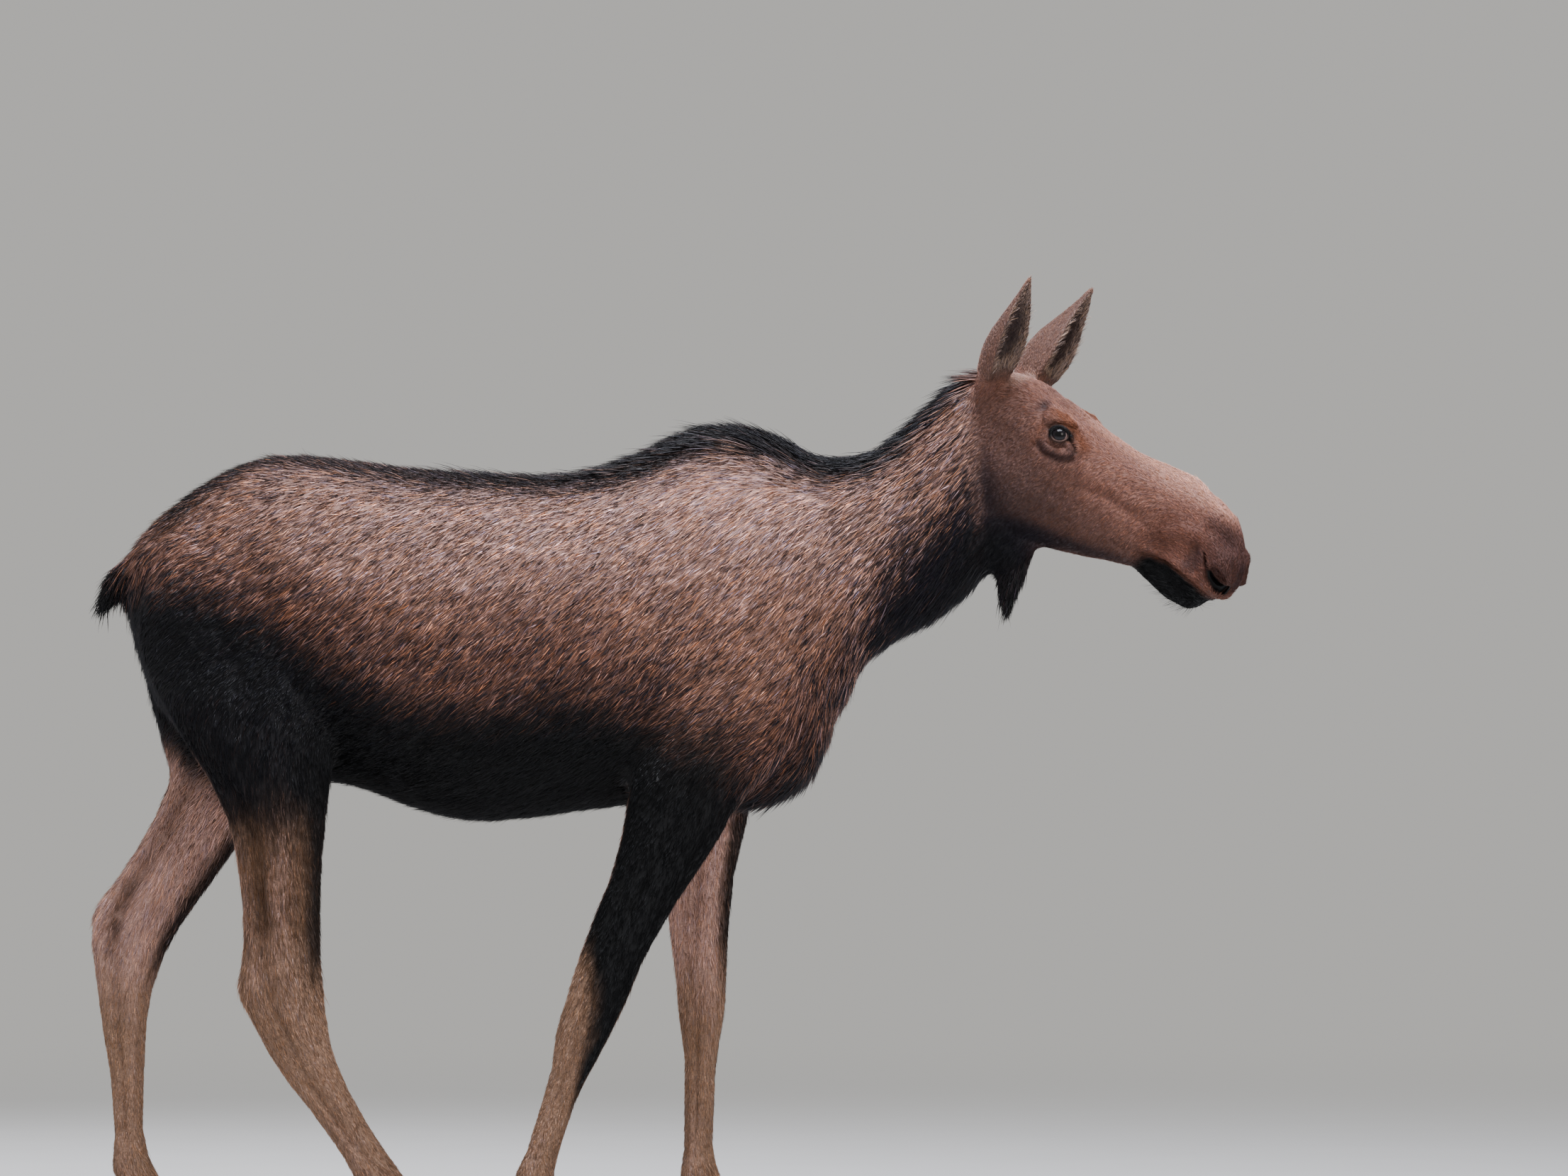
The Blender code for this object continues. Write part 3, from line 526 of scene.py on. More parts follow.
# %% [markdown]
# The string above the hock is a ridge with a hollow in front of it. A groove parts tendon from bone below.
# %% Press tendons and joints into the legs
# Each is its leg, a few (height, how far back), its half width on that map, and how high it stands.
LEG_FOLDS = [
    ("hind", [(0.92, 0.82), (0.82, 0.80), (0.73, 0.76), (0.66, 0.73)], 0.080, -0.0110),
    ("hind", [(0.92, 0.96), (0.80, 0.97), (0.68, 0.95)], 0.070, 0.0040),
    ("hind", [(0.95, 0.40), (0.85, 0.46), (0.74, 0.52)], 0.110, 0.0060),
    ("hind", [(0.63, 0.50), (0.58, 0.46)], 0.100, 0.0060),
    ("hind", [(0.60, 0.84), (0.57, 0.80)], 0.080, 0.0040),
    ("hind", [(0.68, 0.40), (0.66, 0.48)], 0.045, -0.0040),
    ("hind", [(0.52, 0.62), (0.40, 0.62), (0.26, 0.60)], 0.070, -0.0070),
    ("hind", [(0.52, 0.28), (0.40, 0.30), (0.26, 0.30)], 0.080, 0.0025),
    ("fore", [(0.95, 0.52), (0.84, 0.50), (0.70, 0.55)], 0.060, -0.0070),
    ("fore", [(0.95, 0.28), (0.84, 0.28), (0.70, 0.34)], 0.100, 0.0045),
    ("fore", [(0.66, 0.74), (0.60, 0.72), (0.54, 0.70)], 0.055, -0.0060),
    ("fore", [(0.585, 0.30), (0.545, 0.30)], 0.130, 0.0055),
    ("fore", [(0.50, 0.36), (0.50, 0.60)], 0.050, -0.0025),
    ("fore", [(0.46, 0.60), (0.36, 0.60), (0.24, 0.60)], 0.070, -0.0060),
    ("_", [(0.200, 0.70), (0.180, 0.75)], 0.160, 0.0035),
]


def leg_relief(points, normals, names, back):
    """How high each point of a leg is raised by the ridges, and how deep it is sunk by the grooves."""
    leg_places = leg_view(points, back)
    on_leg = soft_step(np.abs(normals[:, 1]), 0.15, 0.60) * (np.char.find(names, "_") > 3)
    raised, sunk = np.zeros(len(points)), np.zeros(len(points))
    for kind, line, width, height in LEG_FOLDS:
        distance = distance_to_line(leg_places, [(LEG_STRETCH * level, depth) for level, depth in line])
        amount = abs(height) * np.exp(-((distance / width) ** 2)) * on_leg
        amount *= np.char.find(names, kind) >= 0
        raised, sunk = (raised + amount, sunk) if height > 0 else (raised, sunk + amount)
    return raised, sunk


normals = normals_of(skin.data)
raised, sunk = leg_relief(leg_points, normals, names, back)
put_points(skin.data, leg_points + normals * (raised - sunk)[:, None])
print("pressed", len(LEG_FOLDS), "lines into the legs")

# %% [markdown]
# ## The face
# The skull shows under the face: the brow, the crest along the cheek, the edge of the jaw. Over it lie the
# folds round the eye, the groove of its gland and the soft, hanging upper lip. They are pressed in as the
# body's were, but along the head's own frame, so the same numbers serve both sides.
# %% Press the folds of the face
# Each as before: its points as along, out and up in the head's frame, its half width and its height.
FACE_FOLDS = [
    # The gland groove in front of the eye, the ridge over it and the bulge under it.
    ([(0.192, 0.1, 0.014), (0.204, 0.1, 0.012), (0.216, 0.1, 0.007), (0.224, 0.1, -0.002)], 0.0030, -0.0050),
    ([(0.196, 0.1, 0.021), (0.212, 0.1, 0.019), (0.228, 0.1, 0.009)], 0.0050, 0.0030),
    ([(0.196, 0.1, 0.004), (0.206, 0.1, 0.001), (0.214, 0.1, -0.007)], 0.0055, 0.0025),
    # The fold of the upper lid, the brow over it, the crease under the lower lid and the bag below.
    ([(0.147, 0.098, 0.008), (0.156, 0.098, 0.023), (0.175, 0.094, 0.034), (0.192, 0.090, 0.036)],
     0.0034, -0.0045),
    ([(0.136, 0.094, 0.020), (0.150, 0.092, 0.038), (0.176, 0.082, 0.048), (0.202, 0.078, 0.046)],
     0.0100, 0.0045),
    ([(0.162, 0.102, -0.018), (0.176, 0.102, -0.018), (0.190, 0.102, -0.012), (0.200, 0.100, -0.003)],
     0.0032, -0.0030),
    ([(0.165, 0.104, -0.030), (0.190, 0.104, -0.024), (0.212, 0.100, -0.010)], 0.0080, 0.0025),
    ([(0.150, 0.10, -0.036), (0.172, 0.10, -0.042), (0.202, 0.10, -0.035), (0.226, 0.095, -0.018)],
     0.0090, -0.0045),
    # The temple, the crest over the brow, and the hollow behind the jaw.
    ([(0.104, 0.080, 0.036), (0.116, 0.080, 0.026)], 0.0110, -0.0040),
    ([(0.090, 0.05, 0.058), (0.120, 0.05, 0.052), (0.150, 0.05, 0.050), (0.185, 0.05, 0.052)],
     0.0055, -0.0045),
    ([(0.060, 0.100, -0.060), (0.080, 0.104, -0.130), (0.130, 0.100, -0.190)], 0.0160, -0.0040),
    # The cheek: the crest below the eye, the groove under it, and the edge of the lower jaw.
    ([(0.235, 0.090, -0.030), (0.300, 0.078, -0.018), (0.380, 0.070, -0.012)], 0.0200, 0.0045),
    ([(0.262, 0.090, -0.060), (0.325, 0.078, -0.040), (0.400, 0.068, -0.038)], 0.0140, -0.0050),
    ([(0.200, 0.088, -0.120), (0.290, 0.078, -0.110), (0.360, 0.070, -0.096)], 0.0220, 0.0035),
    ([(0.250, 0.070, -0.172), (0.330, 0.066, -0.148), (0.410, 0.056, -0.120)], 0.0100, -0.0035),
    ([(0.374, 0.060, -0.108), (0.431, 0.056, -0.114), (0.494, 0.052, -0.122)], 0.0050, -0.0030),
    # The muzzle: the bulge of the upper lip, the dimples round the nostril, and the flap over it.
    ([(0.470, 0.070, -0.020), (0.500, 0.072, 0.002), (0.520, 0.070, 0.014)], 0.0180, 0.0080),
    ([(0.534, 0.074, -0.018), (0.545, 0.074, -0.036), (0.556, 0.072, -0.050)], 0.0110, -0.0090),
    ([(0.536, 0.060, 0.036), (0.556, 0.056, 0.042), (0.580, 0.050, 0.036)], 0.0150, -0.0065),
    ([(0.576, 0.070, 0.006), (0.602, 0.066, -0.008), (0.624, 0.060, -0.024)], 0.0130, 0.0040),
    ([(0.566, 0.074, -0.052), (0.590, 0.072, -0.068), (0.620, 0.066, -0.074)], 0.0070, 0.0035),
    ([(0.600, 0.012, 0.030), (0.618, 0.010, 0.006), (0.636, 0.008, -0.030), (0.636, 0.0, -0.060)],
     0.0070, -0.0040),
    # The nose is drawn in over the nostrils, and its front stands back from the lip.
    ([(0.490, 0.0, 0.100), (0.525, 0.0, 0.088)], 0.0340, -0.0100),
    ([(0.600, 0.010, 0.046), (0.612, 0.010, 0.012)], 0.0260, 0.0030),
    ([(0.624, 0.030, 0.024), (0.630, 0.030, 0.014)], 0.0120, 0.0030),
    ([(0.640, 0.044, -0.006), (0.648, 0.040, -0.040)], 0.0200, -0.0070),
    # The lips: the slit between them, and the lower lip drawn in under the upper one.
    (LIP, 0.0046, -0.0070),
    ([(along, out - 0.004, up - 0.011) for along, out, up in LIP], 0.0080, -0.0045),
    ([(0.445, 0.056, -0.076), (0.500, 0.066, -0.062), (0.560, 0.068, -0.062)], 0.0070, 0.0030),
]
press_skin(FACE_FOLDS, to_head, from_head)
print("pressed", len(FACE_FOLDS), "folds into each side of the face")

# %% [markdown]
# ## Nostrils
# A moose's nostril is a long comma that can be shut under water. Its outline is a line of changing width,
# seen from the side, and the skin inside that outline is sunk, which leaves a rim and a dark hollow.
# %% Hollow the nostrils
def nostril_reach(head_points):
    """How far each point lies outside the nostril's edge, negative inside it, seen from the side."""
    middle, width = np.array(NOSTRIL)[:, :2], np.array(NOSTRIL)[:, 2]
    places = head_points[:, [0, 2]]
    reach = np.full(len(places), np.inf)
    for start, end, near, far in zip(middle, middle[1:], width, width[1:]):
        along = end - start
        part = np.clip((places - start) @ along / (along @ along), 0, 1)
        off = np.linalg.norm(places - start - part[:, None] * along, axis=1)
        reach = np.minimum(reach, off - (near + (far - near) * part))
    return np.where(np.abs(head_points[:, 1]) > 0.022, reach, 1.0)


NOSTRIL_DEPTH = 0.017
head_points = to_head(points_of(skin.data))
sunk = NOSTRIL_DEPTH * soft_step(nostril_reach(head_points), 0.0016, -0.0034)
sunk *= soft_step(np.abs(head_points[:, 1]), 0.026, 0.040)
head_points[:, 1] -= np.sign(head_points[:, 1]) * sunk
head_points[:, 0] -= 0.3 * sunk
put_points(skin.data, from_head(head_points))
print("nostrils hollowed", 1000 * NOSTRIL_DEPTH, "mm deep")

# %% [markdown]
# ## Lids round the eyes
# The lids are a thin sheet of skin drawn over the ball of the eye. Points of the skin near the ball are
# pushed out until they clear it, which makes closed lids. Then the almond between the lids is pushed in
# behind the ball, so that the ball shows and the rim of the lids stands round it.
# %% Wrap the lids and open them
EYE_RADIUS = 0.0195
LID = 0.0018
# How far the lids clear the ball, how far behind its surface the opening is sunk, and how far off they reach.
CLEARANCE, OPENING_DEPTH, LID_REACH = 0.0012, 0.006, 0.045
EYE_SLANT = np.array([1.0, 0.0, 0.50])
EYE_AXES = {}
for side in SIDES:
    out = unit(np.array([0.18, side * 1.0, 0.22]))
    along = unit(EYE_SLANT - out * (EYE_SLANT @ out))
    EYE_AXES[side] = (along, np.cross(along, out) * side, out)


def eye_view(points, side):
    """Points as seen from the middle of an eye: along the lids, up, outwards, and how far off."""
    offset = to_head(points) - EYE_SEAT * (1, side, 1)
    reach = np.linalg.norm(offset, axis=1)
    heading = offset / reach[:, None]
    along, up, out = (heading @ axis for axis in EYE_AXES[side])
    return along, up, out, reach


def lid_opening(along, up, out):
    """Under 1 inside the almond between the lids, over 1 outside it."""
    height = np.where(up > 0, 0.60, 0.58) * (1 - 0.20 * np.clip(along, 0, 1))
    value = np.sqrt(((along + 0.01) / 0.77) ** 2 + (up / height) ** 2)
    return np.where(out > 0, value, 9.0)


points = points_of(skin.data)
for side in SIDES:
    along, up, out, reach = eye_view(points, side)
    opening = lid_opening(along, up, out)
    middle = EYE_MIDDLES[side]
    lid_reach = EYE_RADIUS + CLEARANCE + LID * (1 + 0.45 * np.exp(-(((opening - 1.12) / 0.12) ** 2)))
    lid_reach += 0.0024 * soft_step(up, 0.0, 0.3) * np.exp(-(((opening - 1.30) / 0.20) ** 2))
    close = (reach < LID_REACH) & (out > -0.2)
    wrapped = np.maximum(reach, lid_reach)
    opened = EYE_RADIUS - OPENING_DEPTH
    share = soft_step(opening, 0.96, 1.04)
    target = np.where(close, opened + (wrapped - opened) * share, reach)
    points = np.where(close[:, None], middle + (points - middle) * (target / reach)[:, None], points)
put_points(skin.data, points)
print("lids opened on both eyes")

# %% [markdown]
# ## How the coat lies
# Hair grows backwards from the nose, down the neck and the flanks, and down the legs. Each part gets one
# direction, some of it bent by where the point is, and averaging over the skin makes the streams join.
# %% Read the skin once more
skin_points, skin_normals, skin_edges = points_of(skin.data), normals_of(skin.data), edges_of(skin.data)
owner = owners_of(skin_points)
head_points = to_head(skin_points)
part_names = np.array(FLESH)[owner]
x, y, z = skin_points.T
s, across, h = head_points.T
outward = np.sign(y) * skin_normals[:, 1]


def belongs(*words):
    """Which points belong to a part whose name holds one of the words."""
    return np.array([any(word in name for word in words) for name in FLESH])[owner]


print("points of skin on the head:", belongs("head").sum())


# %% Streams of hair on body, neck and head
def lie_of_body():
    """Backwards along the back and the belly, steeply down the shoulder and the flank between them."""
    flank = soft_step(z, 1.62, 1.53) * (0.45 + 0.55 * soft_step(z, 1.04, 1.20))
    drop = 0.16 + flank * (0.60 + 0.26 * soft_step(x, -0.80, -0.50))
    drop -= 1.1 * soft_step(z, 1.50, 1.60) * soft_step(x, 0.12, 0.26)
    ends = soft_step(np.abs(skin_normals[:, 0]), 0.55, 0.9)
    return np.stack([-1 + 0.7 * ends, np.zeros(len(x)), -drop - ends], axis=1)


def lie_of_neck():
    """Back and down from the crest, and straighter down towards the throat."""
    crest = soft_step(skin_normals[:, 2], 0.55, 0.9)
    return np.stack([-0.70 - 0.2 * crest, np.zeros(len(x)), -0.78 + 0.48 * crest], axis=1)


def lie_of_head():
    """From the nose up the face, and down over the cheek to the throat."""
    cheek = soft_step(h, 0.05, -0.01) * soft_step(s, 0.52, 0.42)
    front = soft_step(s, 0.56, 0.62)
    lie = np.stack([-1 + 0.80 * cheek + 0.6 * front, 0.0 * s, 0.10 - 1.0 * cheek + 0.7 * front], axis=1)
    return lie @ head_axes.T


print("hair on the cheek runs", lie_of_head()[belongs("head")].mean(axis=0).round(2))

# %% Give each point of the skin its direction
# How far ahead the hair of each leg runs, for each metre that it runs down.
LEG_LEANS = {
    "fore_right_forearm": -0.38,
    "fore_right_cannon": -0.24,
    "fore_right_pastern": 0.30,
    "fore_left_forearm": 0.02,
    "fore_left_cannon": 0.0,
    "fore_left_pastern": 0.45,
    "hind_right_thigh": 0.10,
    "hind_right_cannon": 0.50,
    "hind_right_pastern": 0.70,
    "hind_left_thigh": -0.40,
    "hind_left_cannon": 0.02,
    "hind_left_pastern": 0.45,
    "tail": -0.40,
    "bell": 0.02,
}
# The root and the tip of each ear, in the head's frame.
EAR_LINES = {
    RIGHT: np.array([(0.000, -0.078, -0.015), (-0.042, -0.160, 0.239)]),
    LEFT: np.array([(0.022, 0.078, 0.000), (-0.013, 0.160, 0.243)]),
}
JOINING = 14
lie = lie_of_body()
for part, stream in (("neck", lie_of_neck()), ("head", lie_of_head())):
    lie[belongs(part)] = stream[belongs(part)]
for part, ahead in LEG_LEANS.items():
    lie[part_names == part] = (ahead, 0.0, -1.0)
for side, (root, tip) in EAR_LINES.items():
    lie[part_names == "ear_" + SIDE_NAMES[side]] = head_axes @ (tip - root)
lie = squared(soften(unit(lie), skin_edges, JOINING), skin_normals)
print("the coat's lie is set at", len(lie), "points")

# %% [markdown]
# ## Markings
# The coat is a mix of pale-tipped and blue-black hairs. What looks like one brown from afar is the share of
# each, so every point gets a colour for its pale hairs, one for its dark hairs, and the share of dark ones.
# Each mark is laid over the ones before it, with a soft edge.
# %% Colours of the hair
HAIR_CODES = {
    "pale": "#f0bfae",
    "fawn": "#ba8973",
    "tawny": "#966552",
    "umber": "#5d443b",
    "rust": "#7d4a31",
    "cinnamon": "#a27160",
    "muzzle": "#633b2d",
    "bridge highlight": "#d8a28b",
    "grey brown": "#533e39",
    "dusk": "#38292b",
    "blue-black": "#14111c",
    "charcoal": "#0c0b10",
    "black": "#050506",
    "leg tan": "#b08a70",
    "leg brown": "#644731",
    "buff": "#c2a695",
}
HAIR = {name: linear(code) for name, code in HAIR_CODES.items()}
# How far down the brown of the back comes along the body, as x, z, and half the width of its fading edge.
BROWN_EDGE = [
    (-1.15, 1.37, 0.05),
    (-0.92, 1.35, 0.06),
    (-0.78, 1.29, 0.08),
    (-0.64, 1.19, 0.10),
    (-0.50, 1.12, 0.11),
    (-0.30, 1.13, 0.12),
    (-0.15, 1.16, 0.11),
    (-0.05, 1.08, 0.10),
    (0.08, 0.96, 0.10),
    (0.20, 0.96, 0.10),
    (0.30, 1.04, 0.10),
    (0.36, 1.12, 0.10),
    (0.44, 1.24, 0.09),
    (0.55, 1.34, 0.09),
    (0.65, 1.44, 0.08),
]


def lay(colours, mark, colour):
    """Lays a colour over the others where its mark is 1."""
    return colours + (HAIR[colour] - colours) * mark[:, None]


def spot(points, middle, radii, edge=0.5):
    """1 inside an egg-shaped mark, 0 outside, with a soft edge."""
    return soft_step(np.linalg.norm((points - middle) / np.array(radii), axis=1), 1 + edge, 1 - edge)


def lay_both(mark, pale_colour, dark_colour=None):
    """Lays one colour over the pale hairs, and the same or another over the dark hairs."""
    global pale, dark
    pale, dark = lay(pale, mark, pale_colour), lay(dark, mark, dark_colour or pale_colour)


print(len(HAIR), "colours of hair")

# %% [markdown]
# ## The body's markings
# The back is a warm, pale grizzle, and the belly and the upper legs are black. Between them the pale hairs
# grow redder and fewer. A black ridge runs down the back. As on the animal, no mark has a hard edge.
# %% Mark the body
from_side = skin_points[:, [0, 2]]
edge_x, edge_z, edge_width = np.array(BROWN_EDGE).T
lower_edge, fade = np.interp(x, edge_x, edge_z), np.interp(x, edge_x, edge_width)
below = soft_step(z, lower_edge + fade, lower_edge - fade)
pale = np.tile(HAIR["fawn"], (len(x), 1))
dark = np.tile(HAIR["blue-black"], (len(x), 1))
share = np.full(len(x), 0.27)
saddle = soft_step(z, 1.28, 1.50) * soft_step(x, -1.05, -0.40) * soft_step(x, 0.55, 0.25)
pale, dark = lay(pale, saddle, "pale"), lay(dark, 0.85 * saddle, "umber")
share += 0.16 * saddle
# Fewer dark hairs on the top of the shoulder and withers: a painted highlight where the light from above
# falls.
share -= 0.12 * soft_step(x, -0.05, 0.08) * soft_step(x, 0.38, 0.26) * soft_step(z, 1.38, 1.48)
share += 0.14 * soft_step(x, -0.35, -0.75) * soft_step(z, 1.50, 1.60)
# Towards the dark underside the pale hairs turn redder and fewer.
redder = soft_step(z, lower_edge + 2.4 * fade, lower_edge + 0.4 * fade)
pale = lay(pale, redder * 0.65, "tawny")
share += 0.20 * redder
# The neck and the breast are a darker mix, and a painted highlight lies on the side of the hump, where the
# light from above falls.
fore = soft_step(x, 0.28, 0.44)
pale = lay(pale, 0.35 * fore, "pale")
lit = spot(from_side, (0.08, 1.60), (0.20, 0.10))
pale = lay(pale, 0.5 * lit, "pale")
share -= 0.22 * lit
share += 0.10 * fore + 0.14 * fore * soft_step(z - lower_edge, 0.26, 0.10)
breast = soft_step(x, -0.05, 0.12) * soft_step(z, 1.34, 1.12)
share += 0.06 * breast
dark = lay(dark, below, "charcoal")
pale = lay(pale, below * 0.94, "charcoal")
share = np.maximum(share, below)
belly = soft_step(z, 1.14, 1.02) * soft_step(np.abs(x + 0.30), 0.50, 0.38)
dark = lay(dark, belly, "black")
pale = lay(pale, belly * 0.96, "black")
# The throat and the front of the neck are darker than its sides.
throat_line = [(0.80, 1.47), (0.70, 1.44), (0.60, 1.34), (0.50, 1.22), (0.44, 1.10)]
front_neck = soft_step(distance_to_line(from_side, throat_line), 0.24, 0.06) * soft_step(x, 0.38, 0.48)
share += 0.34 * front_neck
pale = lay(pale, 0.30 * front_neck, "umber")
# In front of the shoulder a painted highlight lies along a ridge of muscle, with painted shade in the two
# grooves beside it, and painted shade darkens the crease behind the elbow.
# Each is its line, its width, and how much it adds to the share of dark hairs.
SHOULDER_LIGHT_AND_SHADE = [
    ([(0.208, 1.443), (0.238, 1.343), (0.248, 1.183)], 0.014, -0.22),
    ([(0.236, 1.443), (0.264, 1.343), (0.276, 1.183)], 0.016, 0.20),
    ([(0.185, 1.400), (0.210, 1.300), (0.222, 1.180)], 0.012, 0.14),
    ([(0.030, 1.270), (-0.020, 1.180), (-0.045, 1.120)], 0.034, 0.24),
]
for line, width, change in SHOULDER_LIGHT_AND_SHADE:
    share += change * np.exp(-((distance_to_line(from_side, line) / width) ** 2)) * belongs("trunk", "neck")
# The black ridge runs from the nape over the hump to the tail, and is broadest over the loins.
ridge_widths = [0.090, 0.100, 0.070, 0.060, 0.065, 0.046, 0.046]
ridge_width = np.interp(x, [-1.0, -0.5, -0.1, 0.1, 0.25, 0.5, 0.62], ridge_widths)
ridge = soft_step(np.abs(y), ridge_width * 1.6, ridge_width * 0.6) * soft_step(z, 1.40, 1.46)
ridge *= soft_step(x, -1.12, -0.95) * np.interp(x, [-0.9, -0.4, -0.1, 0.1], [0.80, 0.92, 0.95, 1.0])
pale, dark = lay(pale, 0.85 * ridge, "blue-black"), lay(dark, ridge, "charcoal")
share = np.maximum(share, ridge)
print("black covers", (share > 0.9).mean().round(2), "of the skin's points so far")

# %% [markdown]
# ## The legs' markings
# Below the black of thigh and forearm the legs are tan, palest inside, with brown tendons and joints. A leg's
# raised relief is painted paler, as painted highlight, and its sunk relief darker, as painted shade.
# %% Mark the legs
leg, hind = belongs("fore_", "hind_"), belongs("hind_")
back = down_the_legs(skin_points, part_names)
inner = soft_step(outward, 0.20, -0.20)
# Tan climbs the inner faces to the body, the outer faces of the hind legs to the knee, and the back of the
# forearm. A dark strip is left down the front.
strip = soft_step(back, 0.26, 0.10) * soft_step(z, 0.52, 0.64)
outer_edge = np.interp(z, [0.26, 0.40, 0.52, 0.60, 0.68], [-0.10, 0.36, 0.52, 0.80, 1.30])
outer_tan = np.where(hind, soft_step(z, 0.93, 0.80), soft_step(back, outer_edge - 0.10, outer_edge + 0.12))
inner_tan = np.where(hind, soft_step(z, 1.08, 0.98), soft_step(z, 1.00, 0.90))
tan = (outer_tan + (inner_tan - outer_tan) * inner) * (1 - 0.9 * strip)
brown_leg = soft_step(z, 0.58, 0.68) * (1 - 0.95 * inner)
pale = lay(pale, leg * tan, "leg tan")
pale = lay(pale, leg * (tan * 0.75 * np.where(hind, brown_leg, 0.4 * brown_leg)), "leg brown")
pale = lay(pale, leg * (0.95 * inner * tan * soft_step(z, 0.50, 0.66)), "pale")
dark = lay(dark, leg * tan, "leg brown")
dark = np.where(leg[:, None], dark + 0.45 * tan[:, None] * (pale - dark), dark)
# The hollow in front of the string above the hock is painted dark as shade, and so is a pit beside the left
# hock. The line of the hollow is given on the map of the leg.
hock_hollow_shade = soft_step(distance_to_line(leg_view(skin_points, back), [(1.10, 0.80), (0.985, 0.73)]), 0.11, 0.03)
pale = lay(pale, hind * (0.85 * hock_hollow_shade * tan), "dusk")
hock_pit_shade = spot(from_side, (-1.128, 0.668), (0.020, 0.026)) * belongs("hind_left")
pale = lay(pale, 0.8 * hock_pit_shade, "dusk")
# The relief of the legs once more, for painted highlight on its ridges and painted shade in its grooves.
raised, sunk = leg_relief(skin_points, skin_normals, part_names, back)
pale = lay(pale, leg * (tan * np.clip(sunk / 0.010, 0, 0.7)), "leg brown")
pale = lay(pale, leg * (tan * np.clip(raised / 0.012, 0, 0.5)), "pale")
low_front = soft_step(back, 0.42, 0.22) * soft_step(z, 0.46, 0.36)
share = np.where(leg, 0.90 - 0.62 * tan, share)
share += leg * (tan * (0.22 * (1 - inner) + 0.30 * low_front + 0.20 * soft_step(z, 0.34, 0.10)))
print("tan covers", (tan[leg] > 0.5).mean().round(2), "of the legs")

# %% [markdown]
# ## The face's markings
# The face is a fine even brown, greyer on the cheek, redder on the muzzle and round the eye, and black below
# the lip. Each mark is a soft egg, given by a middle and radii, or a soft line, given by points and a width.
# %% Functions for marks on the face
on_head = belongs("head")
face = on_head * 1.0
pale = lay(pale, face, "cinnamon")
dark = lay(lay(dark, face, "grey brown"), 0.35 * face, "cinnamon")
share = np.where(on_head, 0.32, share)
side_points = np.abs(head_points * (0, 1, 0)) + head_points * (1, 0, 1)


def mark_face(mark, colour, amount):
    """Lays one colour on both sides of the face, a little less of it on the dark hairs."""
    global pale, dark
    mark = on_head * mark * amount
    pale, dark = lay(pale, mark, colour), lay(dark, mark * 0.8, colour)


def face_mark(middle, radii, colour, amount=1.0):
    """A soft egg of one colour."""
    mark_face(spot(side_points, middle, radii), colour, amount)


def face_line(line, width, colour, amount=1.0):
    """A soft line of one colour, which fades out at its width."""
    mark_face(soft_step(distance_to_mark(side_points, line, width), width, width * 0.4), colour, amount)


print("the face is brown at", on_head.sum(), "points")

# %% Mark the cheeks and the muzzle
# The cheeks darken towards the throat, and the jaw has a dark lower edge.
face_mark((0.09, 0.09, -0.13), (0.17, 0.12, 0.13), "grey brown", 0.70)
face_mark((0.28, 0.06, -0.14), (0.20, 0.08, 0.07), "grey brown", 0.55)
face_mark((0.04, 0.07, -0.21), (0.15, 0.12, 0.09), "blue-black", 0.9)
jaw_edge = [(0.10, 0.06, -0.260), (0.24, 0.06, -0.200), (0.33, 0.05, -0.180), (0.45, 0.04, -0.145)]
face_line(jaw_edge, 0.050, "blue-black", 0.9)
throat = spot(side_points, (0.19, 0.03, -0.285), (0.11, 0.08, 0.07), 0.35)
lay_both(throat, "charcoal")
# A painted highlight down the top of the nose, where the light from above falls.
face_mark((0.36, 0.00, 0.10), (0.24, 0.07, 0.05), "bridge highlight", 0.8)
# The corner of the jaw at the throat is dark, and so is the nape behind the ears.
face_mark((0.24, 0.00, -0.215), (0.07, 0.09, 0.035), "blue-black", 0.85)
face_mark((-0.045, 0.00, 0.000), (0.045, 0.035, 0.050), "charcoal", 0.85)
# The muzzle is redder and darker, most of all between the nostrils.
face_mark((0.52, 0.06, -0.03), (0.10, 0.09, 0.08), "muzzle", 0.75)
face_mark((0.60, 0.00, 0.00), (0.07, 0.10, 0.08), "muzzle", 0.9)
face_mark((0.62, 0.03, 0.01), (0.07, 0.09, 0.07), "dusk", 0.55)
# Painted shade in the dimples beside and above the nostril, and in the groove down the front of the lip.
face_line([(0.545, 0.074, -0.022), (0.545, 0.074, -0.044)], 0.024, "dusk", 0.6)
face_line([(0.530, 0.050, 0.046), (0.575, 0.045, 0.044)], 0.026, "dusk", 0.4)
face_line([(0.628, 0.0, -0.005), (0.640, 0.0, -0.060)], 0.026, "dusk", 0.6)
print("cheeks and muzzle marked")

# %% Mark the brow and the skin round the eyes
# The hair above the eye is rust, under a greyer brow, and there is a dark patch on the temple.
face_line([(0.150, 0.085, 0.054), (0.185, 0.070, 0.062), (0.230, 0.060, 0.060)], 0.024, "grey brown", 0.6)
face_mark((0.11, 0.00, 0.07), (0.07, 0.050, 0.05), "grey brown", 0.4)
face_line([(0.150, 0.090, 0.040), (0.192, 0.088, 0.036), (0.232, 0.085, 0.024)], 0.023, "rust", 0.9)
face_line([(0.176, 0.096, -0.036), (0.140, 0.100, -0.030), (0.130, 0.100, 0.000)], 0.016, "rust", 0.4)
face_mark((0.109, 0.080, 0.034), (0.010, 0.04, 0.014), "dusk", 0.9)
# Under the eye, a soft band of painted shade along its fold, and painted shade in a groove in front of it.
under_eye_shade = [(0.152, 0.10, -0.030), (0.172, 0.10, -0.034), (0.200, 0.10, -0.028), (0.222, 0.095, -0.012)]
face_line(under_eye_shade, 0.015, "dusk", 0.75)
face_line([(0.188, 0.1, 0.000), (0.204, 0.1, 0.003), (0.216, 0.1, -0.004)], 0.0064, "dusk", 0.6)
